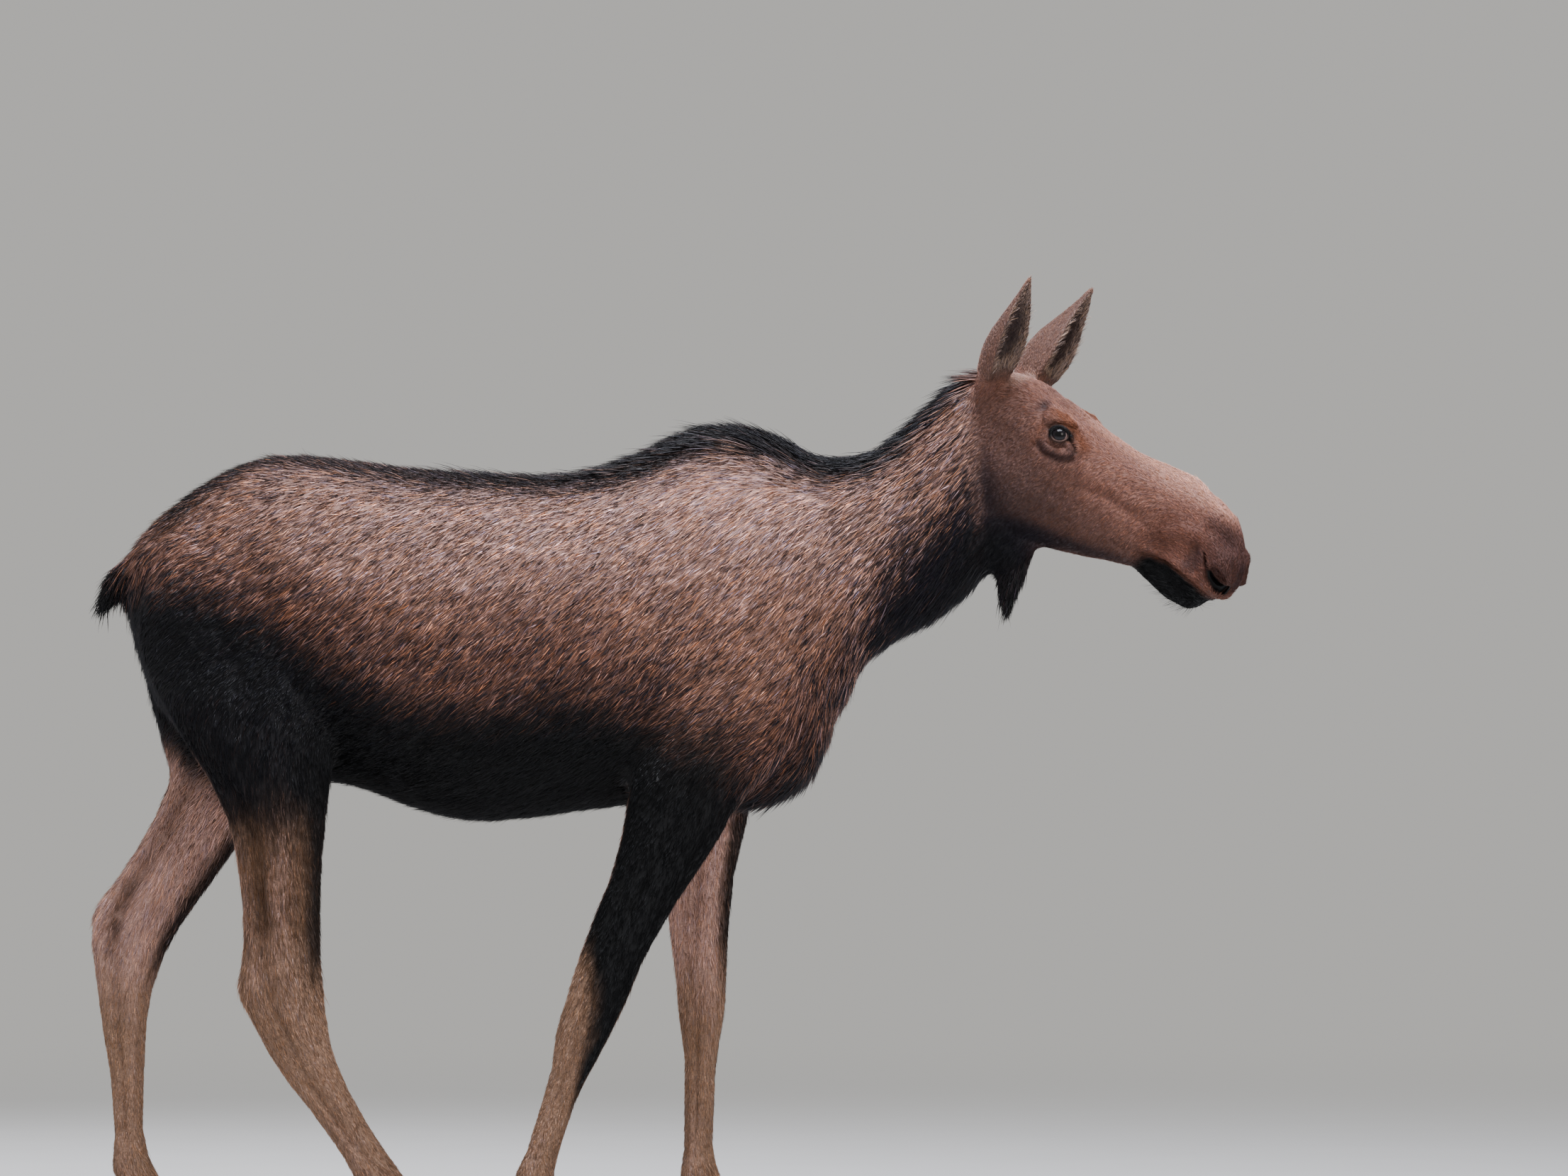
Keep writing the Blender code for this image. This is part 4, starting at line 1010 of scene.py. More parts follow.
# Painted shade in the groove in front of the eye, and a painted highlight on the ridge over that groove.
gland_groove_shade = [(0.190, 0.1, 0.014), (0.204, 0.1, 0.012), (0.216, 0.1, 0.007), (0.224, 0.1, -0.002)]
face_line(gland_groove_shade, 0.0044, "black", 1.0)
gland_ridge_highlight = [(0.192, 0.1, 0.020), (0.208, 0.1, 0.018), (0.222, 0.1, 0.012), (0.230, 0.1, 0.002)]
face_line(gland_ridge_highlight, 0.0040, "cinnamon", 0.7)
face_mark((0.016, 0.03, 0.040), (0.022, 0.04, 0.022), "buff", 0.4)
print("brow and eye rings marked")

# %% Blacken the mouth, the nostrils and the lids
# Below the edge of the upper lip all is black, and the inside of the nostril is painted black as shade in its
# hollow.
lip_along, _, lip_up = np.array(LIP).T
under_lip = soft_step(h - np.interp(s, lip_along, lip_up), 0.001, -0.005) * soft_step(s, 0.425, 0.455)
under_lip *= soft_step(s, 0.70, 0.66) * on_head
nostril_shade = on_head * soft_step(nostril_reach(head_points), 0.0012, -0.0020)
for mark in (under_lip, nostril_shade):
    lay_both(mark, "black")
# Bare dark lids, with a painted highlight along the wet edge of the lower one.
for side in SIDES:
    along, up, out, reach = eye_view(skin_points, side)
    opening = lid_opening(along, up, out)
    lid = soft_step(opening, 1.38 + 0.22 * soft_step(up, 0.0, 0.3), 1.20) * (reach < 0.034)
    lay_both(lid, "black")
    lay_both(0.5 * lid * soft_step(up, -0.20, -0.45), "umber")
    wet_edge_glint = 0.5 * soft_step(opening, 1.030, 1.010) * (up < 0.05) * (reach < 0.0205)
    wet_edge_glint *= soft_step(along, -0.72, -0.45)
    lay_both(wet_edge_glint, "fawn")
print("lips, nostrils and lids blackened")

# %% [markdown]
# ## The ears' markings
# An ear is a leaf rolled into a cup. Whether a point lies inside the cup or on its back is read from which
# way its surface faces, and how deep it lies from its distance to the ear's own middle line.
# %% Mark the ears and the hanging parts
EAR_TURNS = {RIGHT: math.radians(12), LEFT: math.radians(-14)}
EAR_BOWS = {RIGHT: 0.012, LEFT: 0.020}


def ear_view(side):
    """For each point: how far up the ear, how much it faces the middle of the cup, and how deep in it.

    Last comes the way that the cup itself faces.
    """
    root, tip = EAR_LINES[side]
    axis = unit(tip - root)
    ahead = unit(np.array([1.0, 0.0, 0.0]) - axis * axis[0])
    turn = side * EAR_TURNS[side]
    facing = ahead * math.cos(turn) + np.cross(axis, ahead) * math.sin(turn)
    rise = (head_points - root) @ (tip - root) / ((tip - root) @ (tip - root))
    bow = EAR_BOWS[side] * np.sin(np.pi * np.clip(rise, 0, 1))
    middle = root + rise[:, None] * (tip - root) + bow[:, None] * facing
    inwards = (unit(middle - head_points) * (skin_normals @ head_axes)).sum(axis=1)
    sunk = (middle - head_points) @ facing
    return rise, inwards, sunk, facing


# The backs of the ears are grey brown. The cup is dark within, buff towards its edges, and has a dark rim.
ear = belongs("ear_")
pale = lay(lay(pale, ear * 1.0, "grey brown"), ear * 0.34, "fawn")
dark = lay(dark, ear * 0.8, "dusk")
share = np.where(ear, 0.50, share)
cup = np.zeros(len(x))
for side in SIDES:
    here = part_names == "ear_" + SIDE_NAMES[side]
    rise, inwards, sunk, facing = ear_view(side)
    inside = here * (soft_step(inwards, -0.10, 0.25) * soft_step(rise, 0.16, 0.26))
    cup += inside
    lay_both(inside, "buff", "dusk")
    pale = lay(pale, inside * soft_step(sunk, 0.004, 0.024) * 0.85, "dusk")
    lay_both(here * np.exp(-(((inwards + 0.12) / 0.10) ** 2)) * 0.8, "dusk")
    pale = lay(pale, here * soft_step(rise, 0.90, 0.97) * 0.5, "fawn")
# Fine ear hair runs together, so its dark hairs stand out less.
dark = np.where((ear & (cup < 0.5))[:, None], dark + 0.55 * (pale - dark), dark)
dangling = belongs("bell", "tail")
lay_both(dangling * 1.0, "dusk", "black")
share = np.where(dangling, 0.97, share)
print("the cups of the ears hold", (cup > 0.5).sum(), "points")

# %% Blend the marks into their neighbours
SOFT_EDGE = 2
fields = soften(np.concatenate([pale, dark, share[:, None]], axis=1), skin_edges, SOFT_EDGE)
pale, dark, share = fields[:, :3], fields[:, 3:6], np.clip(fields[:, 6], 0.0, 1.0)
skin_colour = pale + (dark - pale) * share[:, None]
print("markings laid; darkest and palest", skin_colour.min().round(3), skin_colour.max().round(3))

# %% [markdown]
# ## An unwrap of the skin's own shape
# The baked colours need a flat map of the skin. Body, head and legs are each close to a tube, so each is
# slit and rolled out: one direction runs along the tube, the other round it. The slit runs along the
# underside of body and head, and down the back of a leg. The ears are leaves, and their outer and inner
# faces are laid out apart.
# %% Share the map out
# Each chart's left, lower, right and upper edge on the map.
CHARTS = {
    "body": (0.01, 0.01, 0.99, 0.44),
    "head": (0.01, 0.46, 0.66, 0.72),
    "ear_right": (0.68, 0.46, 0.83, 0.72),
    "ear_left": (0.84, 0.46, 0.99, 0.72),
    "fore_right": (0.01, 0.74, 0.49, 0.86),
    "fore_left": (0.51, 0.74, 0.99, 0.86),
    "hind_right": (0.01, 0.87, 0.49, 0.99),
    "hind_left": (0.51, 0.87, 0.99, 0.99),
}
# How far ahead the middle of each leg lies at three heights.
LEG_LEVELS = [0.0, 0.45, 1.0]
LEG_MIDDLES = {
    "fore_right": [-0.24, -0.19, 0.02],
    "fore_left": [0.13, 0.06, 0.08],
    "hind_right": [-0.50, -0.75, -0.85],
    "hind_left": [-1.03, -1.10, -0.90],
}


def chart_of(name):
    if name in ("trunk", "neck", "tail"):
        return "body"
    if name in ("head", "bell"):
        return "head"
    return name if name.startswith("ear") else name.rsplit("_", 1)[0]


print("the map has", len(CHARTS), "charts")


# %% [markdown]
# A triangle that crosses the slit would be torn, so its corners are all brought to one side of it.
# %% Lay the skin on the charts
def side_of(name):
    return RIGHT if name.endswith("right") else LEFT


def rolled(chart, points):
    """Where each point lies along its tube, and the angle round it, both from 0 to 1."""
    ahead, aside, height = np.moveaxis(points, -1, 0)
    if chart == "body":
        middle = np.interp(ahead, [-1.2, 0.3, 0.65], [1.28, 1.32, 1.62])
        radial = np.stack([aside, height - middle], axis=-1)
        capped = np.clip(0.35 - np.linalg.norm(radial, axis=-1), 0, 1) * soft_step(ahead, -0.8, -1.0)
        along = (ahead + 1.45 - capped) / 2.25
    elif chart == "head":
        down_face, aside, height = np.moveaxis(to_head(points), -1, 0)
        radial = np.stack([aside, height + 0.06], axis=-1)
        capped = np.clip(0.09 - np.linalg.norm(radial, axis=-1), 0, 1) * soft_step(down_face, 0.5, 0.6)
        along = (down_face + 0.30) / 1.05 + capped
    elif chart.startswith("ear"):
        root, tip = EAR_LINES[side_of(chart)]
        line, placed = unit(tip - root), to_head(points) - root
        rise = placed @ line
        radial = np.stack([placed[..., 1] - line[1] * rise, placed[..., 0] - line[0] * rise], axis=-1)
        along = rise / 0.27 + 0.05
    else:
        middle = np.interp(height, LEG_LEVELS, LEG_MIDDLES[chart])
        radial = np.stack([aside - 0.13 * side_of(chart), ahead - middle], axis=-1)
        along = height / 1.25
    return along, np.arctan2(radial[..., 0], radial[..., 1]) / (2 * math.pi) + 0.5


def unwrapped(points, owners, normals):
    """The place on the map of each corner of each triangle."""
    places = np.zeros(points.shape[:2] + (2,))
    charts = np.array([chart_of(name) for name in FLESH])[owners]
    for chart, (left, low, right, high) in CHARTS.items():
        chosen = charts == chart
        corners = points[chosen]
        along, turn = rolled(chart, corners)
        turn_middle = rolled(chart, corners.mean(axis=1, keepdims=True))[1]
        turn = turn - np.round(turn - turn_middle)
        if chart.startswith("ear"):
            inside = (normals[chosen] @ head_axes[:, 0] > 0.1)[:, None]
            turn = turn * 0.48 + 0.52 * inside
        places[chosen, :, 0] = left + (right - left) * np.clip(along, 0, 1)
        places[chosen, :, 1] = low + (high - low) * np.clip(turn, 0, 1)
    return places


skin_triangles = triangles_of(skin.data)
corner_points = skin_points[skin_triangles]
spans = np.cross(corner_points[:, 1] - corner_points[:, 0], corner_points[:, 2] - corner_points[:, 0])
triangle_area = np.linalg.norm(spans, axis=1) / 2
triangle_owner = owner[skin_triangles[:, 0]]
triangle_places = unwrapped(corner_points, triangle_owner, unit(spans))
print("skin area", triangle_area.sum().round(2), "square metres:")
for number, name in enumerate(FLESH):
    print("  ", name, (triangle_area[triangle_owner == number].sum() * 1e4).round(), "cm2")

# %% [markdown]
# ## The coat
# A real coat is hundreds of thousands of hairs, lying in locks of a few dozen. Each lock here is one slender
# solid, a ridged spike of four faces: wide at the root, which its neighbours cover, and drawn to a point.
# The places of the roots are drawn at random over the skin, more of them where the locks are small. A lock
# is pale or dark by chance, in the share that its place asks for, which gives the streaks.
# %% Choose where the locks grow
chance = np.random.default_rng(20)
growth = np.array([growth_of(name)[1:] for name in FLESH])[owner]
# On the neck and trunk the long hair begins gradually, over several centimetres.
FAR_BLEND, NEAR_BLEND = 80, 10
gradual = soften(growth, skin_edges, FAR_BLEND)
growth = soften(np.where(belongs("neck", "trunk")[:, None], gradual, growth), skin_edges, NEAR_BLEND)


def where_hair_grows():
    """1 where hair grows, 0 on the eyes, on the rims of their lids and inside the nostrils."""
    grows = np.ones(len(skin_points))
    for side in SIDES:
        along, up, out, reach = eye_view(skin_points, side)
        bare = lid_opening(along, up, out) < 1.16 + 0.22 * soft_step(up, 0.0, 0.3)
        grows *= np.where(bare & (reach < 0.030), 0.0, 1.0)
    return grows * np.where(on_head, soft_step(nostril_reach(head_points), -0.001, 0.001), 1.0)


hair_grows = where_hair_grows()


def pick_roots(density, count):
    """Draws roots on the skin at random: the triangle of each, and its shares of the three corners."""
    weight = triangle_area * density[skin_triangles].mean(axis=1)
    faces = chance.choice(len(weight), size=count, p=weight / weight.sum())
    first, second = chance.random(count), chance.random(count)
    over = first + second > 1
    first, second = np.where(over, 1 - first, first), np.where(over, 1 - second, second)
    return faces, np.stack([1 - first - second, first, second], axis=1)


def at_roots(values, roots):
    """A value of the skin's points, at each root."""
    faces, shares = roots
    return (values[skin_triangles[faces]] * shares[..., None]).sum(axis=1)


print("hair grows on", hair_grows.mean().round(3), "of the skin's points")

# %% [markdown]
# ## A mesh of many locks
# An operator would make a hundred thousand spikes far too slowly, so the corners of all locks are
# worked out together as arrays, and one mesh is filled from them.
# %% Fill a mesh from arrays
PATCH = 0.003


def build_coat(name, points, pattern, colours, places):
    """One mesh of hair, made of one pattern of triangles repeated for every lock."""
    count, corners, _ = points.shape
    triangles = (np.arange(count)[:, None, None] * corners + np.array(pattern)[None]).reshape(-1, 3)
    mesh = bpy.data.meshes.new(name)
    mesh.vertices.add(count * corners)
    mesh.vertices.foreach_set("co", points.astype(np.float32).ravel())
    mesh.loops.add(triangles.size)
    mesh.loops.foreach_set("vertex_index", triangles.astype(np.int32).ravel())
    mesh.polygons.add(len(triangles))
    mesh.polygons.foreach_set("loop_start", np.arange(0, triangles.size, 3, dtype=np.int32))
    lay_out(mesh, places[triangles.ravel()])
    paint(mesh, "hair", colours.reshape(-1, 3))
    mesh.update(calc_edges=True)
    mesh.validate()
    made = bpy.data.objects.new(name, mesh)
    bpy.context.scene.collection.objects.link(made)
    print("  ", name, count, "locks,", len(triangles), "triangles")
    return made


def map_places(roots, corners):
    """Each lock's patch on the map, at its root's place."""
    faces, shares = roots
    middle = (triangle_places[faces] * shares[..., None]).sum(axis=1)
    middle = np.clip(middle, PATCH, 1 - PATCH)
    return (middle[:, None, :] + PATCH * np.array(corners)[None]).reshape(-1, 2)


def lock_frames(roots, stray):
    """Root, outward, along and across of each lock, each strayed a little from the lie of the coat."""
    root = at_roots(skin_points, roots)
    up = unit(at_roots(skin_normals, roots))
    along = squared(at_roots(lie, roots), up)
    across = np.cross(up, along)
    turn = chance.normal(0, stray, len(root))[:, None]
    along = along * np.cos(turn) + across * np.sin(turn)
    return root, up, along, np.cross(up, along)


print("each lock takes", PATCH, "of the map's width")

# %% [markdown]
# ## The colour of a lock
# Long hair lies together in clumps, and each clump is a little lighter or darker than the next. So a lock
# takes the tone of its clump, and then strays from it by chance.
# %% Colour the locks
CLUMP_LENGTH, CLUMP_WIDTH = 0.024, 0.0042
TONES = 4096
# Odd numbers, which send neighbouring rows and columns to places far apart in the list of tones.
ROW_SHIFT, ROW_STRIDE, COLUMN_STRIDE, SIDE_STRIDE = 31, 1619, 311, 977
LONG_HAIR = 0.024
clump_tones = chance.normal(0, 1, TONES)


def clump_tone(roots):
    """One tone for all locks of a clump, which is long down and back and narrow across."""
    place = at_roots(skin_points, roots)
    down = (place[:, 0] + place[:, 2]) / math.sqrt(2) / CLUMP_LENGTH + chance.normal(0, 0.25, len(place))
    over = (place[:, 0] - place[:, 2]) / math.sqrt(2) / CLUMP_WIDTH + chance.normal(0, 0.20, len(place))
    side = (place[:, 1] > 0) * SIDE_STRIDE
    # Each row of clumps is shifted by its own amount, so that their ends don't line up.
    row = np.floor(over).astype(int)
    column = np.floor(down + clump_tones[row * ROW_SHIFT % TONES]).astype(int)
    return clump_tones[(row * ROW_STRIDE + column * COLUMN_STRIDE + side) % TONES]


def lock_colours(roots):
    """Each lock's colour: pale or dark by chance, and a little lighter, darker or warmer than its kind."""
    pale_here, dark_here = at_roots(pale, roots), at_roots(dark, roots)
    share_here = at_roots(share[:, None], roots)[:, 0]
    lot = chance.random(len(share_here))
    mix = soft_step(share_here - lot, -0.12, 0.12)[:, None]
    long_haired = at_roots(growth, roots)[:, :1] > LONG_HAIR
    spread = chance.normal(0, 0.24, (len(lot), 1)) * (1 + 0.8 * long_haired)
    brightness = np.exp(spread + 0.17 * long_haired * clump_tone(roots)[:, None] - 0.04)
    warmth = np.exp(chance.normal(0, 1, (len(lot), 1)) * (1 + 0.8 * long_haired) * [0.07, 0.0, -0.12])
    return (pale_here + (dark_here - pale_here) * mix) * brightness * warmth


print(TONES, "tones of clumps from", clump_tones.min().round(2), "to", clump_tones.max().round(2))

# %% [markdown]
# ## The short coat
# The skin is shared out among twelve pieces, so that none is too heavy. Where a region has room for more
# locks than a piece may hold, it gets the most that it may, and the skin's own colour shows between them.
# %% Grow the short coat
# A lock's corners are its left, its ridge, its right and its tip: two upper faces, a lower one and the root.
SPIKE = [(0, 1, 3), (1, 2, 3), (2, 0, 3), (0, 2, 1)]
SPIKE_SHADES = [0.55, 0.70, 0.55, 1.15]
SPIKE_PATCH = [(-0.5, -0.5), (0.0, -0.5), (0.5, -0.5), (0.0, 0.5)]
STRAY = 0.16
MOST_LOCKS = 49000
THINNED = 1.0
DENSITY = growth[:, 3] * 1e4


def varied(value, spread, count):
    """A value for each lock, strayed by chance in proportion to its size."""
    return value * np.exp(chance.normal(0, spread, (count, 1)))


def grow_coat(name, density, count):
    """A piece of short coat, of spikes that lie close to the skin."""
    roots = pick_roots(density * hair_grows, count)
    root, up, along, across = lock_frames(roots, STRAY)
    length, width, lift, _ = at_roots(growth, roots).T[..., None]
    length, width, lift = varied(length, 0.22, count), varied(width, 0.15, count), varied(lift, 0.35, count)
    sunk = root - up * width * 0.25
    tip = root + along * length * np.cos(lift) + up * length * np.sin(lift)
    left, right = sunk - across * width / 2, sunk + across * width / 2
    points = np.stack([left, sunk + up * width * 0.55, right, tip], axis=1)
    colours = lock_colours(roots)[:, None, :] * np.array(SPIKE_SHADES)[None, :, None]
    return build_coat(name, points, SPIKE, colours, map_places(roots, SPIKE_PATCH))


coat_pieces = []
REGIONS = {
    "coat_barrel_right": belongs("trunk") & (x > -0.62) & (x < 0.0) & (y < 0),
    "coat_barrel_left": belongs("trunk") & (x > -0.62) & (x < 0.0) & (y >= 0),
    "coat_rump": belongs("trunk", "tail") & (x <= -0.62),
    "coat_shoulders": belongs("trunk") & (x >= 0.0),
    "coat_neck": belongs("neck"),
    "coat_face": on_head & (s >= 0.20),
    "coat_cheeks": belongs("head", "bell") & (s < 0.20),
    "coat_ears": ear,
    "coat_fore_right": belongs("fore_right"),
    "coat_fore_left": belongs("fore_left"),
    "coat_hind_right": belongs("hind_right"),
    "coat_hind_left": belongs("hind_left"),
}
for name, region in REGIONS.items():
    density = np.where(region, DENSITY, 0.0)
    wanted = (triangle_area * (density * hair_grows)[skin_triangles].mean(axis=1)).sum()
    count = int(min(wanted, MOST_LOCKS) * THINNED)
    coat_pieces.append(grow_coat(name, density, count))
print("short coat:", sum(len(piece.data.polygons) for piece in coat_pieces), "triangles")

# %% [markdown]
# ## Long hair
# The mane, the bell, the tail and the ear fringes are long enough to bend, so each of their locks is a
# three-sided strand in four lengths, which leaves the skin steeply and then falls along the coat.
# %% A function for long strands
STEPS = 4
# The strand's rings of three points: a cap at the root, a belt of six triangles between rings, and the tip.
STRAND = [(0, 2, 1)]
for low in range(0, 3 * (STEPS - 1), 3):
    for near, far in ((0, 1), (1, 2), (2, 0)):
        STRAND += [(low + near, low + far, low + 3 + far), (low + near, low + 3 + far, low + 3 + near)]
STRAND += [(3 * STEPS - 3 + near, 3 * STEPS - 3 + far, 3 * STEPS) for near, far in ((0, 1), (1, 2), (2, 0))]
RISE = np.repeat(np.arange(STEPS + 1), [3] * STEPS + [1]) / STEPS
STRAND_PATCH = [((number % 3 - 1) * 0.5 * (1 - high), high - 0.5) for number, high in enumerate(RISE[:-1])]
STRAND_PATCH += [(0.0, 0.5)]


def grow_strands(name, density, count, length, width, lift, fall=(0.0, 0.0, 0.0), stray=0.12, tint=1.0):
    """A piece of long hair. lift is the angle at the root, and fall is added to the way the strand ends."""
    count = max(20, int(count * THINNED))
    roots = pick_roots(density, count)
    root, up, along, across = lock_frames(roots, stray)
    length, width, lift = varied(length, 0.18, count), varied(width, 0.2, count), varied(lift, 0.15, count)
    rings, spot_now = [], root - up * width * 0.4
    for step in range(STEPS):
        done = step / STEPS
        angle = lift * (1 - 0.75 * done)
        heading = unit(along * np.cos(angle) + up * np.sin(angle) + np.asarray(fall) * done)
        half = width / 2 * (1 - done) ** 0.7
        outwards = unit(np.cross(heading, across))
        rings += [spot_now - across * half, spot_now + outwards * half * 0.9, spot_now + across * half]
        spot_now = spot_now + heading * length / STEPS
    points = np.stack(rings + [spot_now], axis=1)
    base = lock_colours(roots) * tint
    colours = base[:, None, :] * (0.6 + 0.5 * RISE)[None, :, None]
    coat_pieces.append(build_coat(name, points, STRAND, colours, map_places(roots, STRAND_PATCH)))


print("a strand has", len(STRAND), "triangles")

# %% [markdown]
# ## Mane, bell, tail and belly
# The mane stands on the crest of the neck and the hump, thickest where the hump is highest. The bell is a
# flap of skin under the throat, and its hair hangs in a point. Thin fringes hang from breast and belly.
# %% Mane, bell, tail and fringes
crest_line = np.interp(x, [0.4, 0.68], [0.0, -0.03])
crest = soft_step(np.abs(y - crest_line), 0.050, 0.015) * soft_step(skin_normals[:, 2], 0.35, 0.7)
crest = crest * belongs("trunk", "neck", "head") * (z > 1.5) * soft_step(s, 0.010, -0.020)
hump_share = [0, 0.25, 1.0, 1.0, 0.6, 0.7, 0.8, 0.3]
hump = np.interp(x, [-0.55, -0.15, 0.05, 0.20, 0.30, 0.40, 0.55, 0.66], hump_share)
mane = np.where(crest * hump > 0.08, crest * hump, 0.0)
brisket = belongs("trunk", "neck") * (soft_step(-skin_normals[:, 2], 0.2, 0.8) * soft_step(x, 0.05, 0.25))
underside = belongs("trunk") * (soft_step(-skin_normals[:, 2], 0.5, 0.9) * (x <= 0.1))
# Each is its name, where it grows, how many strands, their length, width and lift, and how they fall.
grow_strands("mane", mane, 4600, 0.056, 0.0026, 0.38, (-0.3, 0, 0.0))
grow_strands("bell_hair", belongs("bell") * 1.0, 800, 0.034, 0.0020, 0.22, (0, 0, -1.0))
grow_strands("tail_hair", belongs("tail") * 1.0, 700, 0.050, 0.0028, 0.30, (0, 0, -0.6))
grow_strands("brisket_hair", brisket, 1200, 0.042, 0.0028, 0.30, (-0.2, 0, -0.5))
grow_strands("belly_hair", underside, 1200, 0.034, 0.0026, 0.22, (-0.3, 0, -0.3))
print("long hair laid")

# %% [markdown]
# ## Ear fringes, chin bristles and lashes
# The rim of the ear is fringed with pale hairs that lean over the cup and keep flies out. For them the coat's
# colours are set to buff and then put back. The chin has a few long bristles, and the upper lid its lashes.
# %% Ear fringes, bristles and lashes
kept = pale.copy(), dark.copy(), share.copy()
pale = lay(pale, np.ones(len(x)), "buff")
share = np.full(len(x), 0.22)
for side in SIDES:
    here = part_names == "ear_" + SIDE_NAMES[side]
    rise, inwards, sunk, facing = ear_view(side)
    fringe = here * (cup * soft_step(sunk, 0.016, 0.002) * soft_step(rise, 0.86, 0.62))
    ahead = head_axes @ facing
    grow_strands("ear_fringe_" + SIDE_NAMES[side], fringe, 700, 0.018, 0.0009, 0.45, 0.7 * ahead, 0.22)
pale, dark, share = kept
chin = spot(side_points, (0.55, 0.03, -0.13), (0.06, 0.05, 0.03)) * on_head
grow_strands("chin_bristles", chin, 160, 0.026, 0.0007, 0.9, (0, 0, -0.5), 0.3)
lash = np.zeros(len(x))
for side in SIDES:
    along, up, out, reach = eye_view(skin_points, side)
    opening = lid_opening(along, up, out)
    lash += (opening > 1.04) & (opening < 1.16) & (up > 0.25) & (reach < 0.03)
grow_strands("lashes", lash, 140, 0.009, 0.0006, 0.8, (0.5, 0.0, 0.0), 0.3, 0.3)
print("hair in all:", sum(len(piece.data.polygons) for piece in coat_pieces), "triangles")

# %% [markdown]
# ## The eyes
# A moose's eye is nearly black: a dark brown iris round a long, lying pupil, under a clear wet cornea. The
# ball is one sphere whose front swells a little for the cornea, and the iris is painted on its points.
# %% Model the eyes
IRIS, PUPIL, BALL_WHITE = linear("#120e12"), linear("#030304"), linear("#8d7672")
eye_balls = {}
for side in SIDES:
    shape = bmesh.new()
    bmesh.ops.create_uvsphere(shape, u_segments=64, v_segments=48, radius=EYE_RADIUS)
    ball = object_from(shape, "eyeball_" + SIDE_NAMES[side])
    heading = unit(points_of(ball.data))
    along, up, out = (heading @ (head_axes @ axis) for axis in EYE_AXES[side])
    swell = 0.0012 * soft_step(out, 0.60, 0.95)
    put_points(ball.data, EYE_MIDDLES[side] + heading * (EYE_RADIUS + swell)[:, None])
    iris = soft_step(np.sqrt((along + 0.10) ** 2 + up**2), 0.77, 0.74)
    pupil = soft_step(np.sqrt((along / 0.46) ** 2 + (up / 0.26) ** 2), 1.1, 0.9)
    colours = BALL_WHITE + (IRIS - BALL_WHITE) * iris[:, None]
    colours = np.where(out[:, None] > 0, colours + (PUPIL - colours) * pupil[:, None], BALL_WHITE)
    paint(ball.data, "iris", colours)
    ball.data.shade_smooth()
    eye_balls[side] = ball
print("eyes of", 2000 * EYE_RADIUS, "mm")

# %% [markdown]
# ## The hooves
# The horn of a hoof is a sleeve that grows down from the coronet. The CAD solid has its outline, so each is
# merged and its edges rounded, and rings of growth are left to the finish.
# %% Round the hooves
SHARP, ROUNDING, SHADED_SHARP = math.radians(50), 0.0025, math.radians(35)
hoof_pieces = []
for leg in LEGS:
    shape = bmesh.new()
    names = [f"{leg}_{kind}_{letter}" for kind in ("hoof", "dewclaw") for letter in "ab"]
    for name in names:
        piece = merged_copy(name)
        sharp = [edge for edge in piece.edges if edge.calc_face_angle(0) > SHARP]
        bmesh.ops.bevel(
            piece,
            geom=sharp,
            offset=ROUNDING,
            offset_type="OFFSET",
            affect="EDGES",
            segments=2,
            profile=0.5,
            material=-1,
        )
        add_piece(shape, piece)
    made = object_from(shape, "hooves_" + leg)
    made.data.shade_smooth()
    made.data.set_sharp_from_angle(angle=SHADED_SHARP)
    hoof_pieces.append((made, names))
print("hooves rounded on", len(hoof_pieces), "feet")

# %% [markdown]
# ## Guard hair
# Guard hair is keratin, smooth and slightly oiled, so it has a soft shine. Short hair stands closer and
# scatters more. The colour is each lock's own, and a slow drift of light and dark lies over the whole coat.
# %% Hair, as guard hair lies in locks
def speckled(tree, colour, vector, scale, detail, levels, spread=(0.3, 0.7)):
    """The noise, and a colour made lighter and darker by it. spread is its range, levels what it becomes."""
    noise = add_node(tree, "ShaderNodeTexNoise", {"Vector": vector, "Scale": scale, "Detail": detail})
    ends = {"From Min": spread[0], "From Max": spread[1], "To Min": levels[0], "To Max": levels[1]}
    level = add_node(tree, "ShaderNodeMapRange", {"Value": noise.outputs["Fac"], **ends})
    values = {"Value": level.outputs["Result"], "Color": colour}
    return noise.outputs["Fac"], add_node(tree, "ShaderNodeHueSaturation", values).outputs["Color"]


def hair_finish(name, roughness, shine):
    """Guard hair: its colour comes from the locks, its shine from one smooth, slightly oily surface."""
    made, tree = new_material(name)
    colour = add_node(tree, "ShaderNodeVertexColor", layer_name="hair").outputs["Color"]
    place = add_node(tree, "ShaderNodeTexCoord").outputs["Object"]
    # The drift is in patches of about 11 cm.
    _, tone = speckled(tree, colour, place, 9.0, 3.0, (0.86, 1.14))
    inputs = {"Base Color": tone, "Roughness": roughness, "IOR": 1.55, "Specular IOR Level": shine}
    shader = add_node(tree, "ShaderNodeBsdfPrincipled", inputs)
    add_node(tree, "ShaderNodeOutputMaterial", {"Surface": shader.outputs["BSDF"]})
    return made


guard_hair = hair_finish("guard hair", 0.42, 0.30)
short_hair = hair_finish("short hair", 0.62, 0.16)
print("finishes of hair:", guard_hair.name, "and", short_hair.name)

# %% [markdown]
# ## Skin under the coat
# The skin shows only between the locks. It carries the same markings a shade darker, as hair in shadow, with
# fine streaks pressed in for the hairs that are too thin to model.
# %% Skin
skin_finish, tree = new_material("coated skin")
colour = add_node(tree, "ShaderNodeVertexColor", layer_name="hair").outputs["Color"]
place = add_node(tree, "ShaderNodeTexCoord").outputs["Object"]
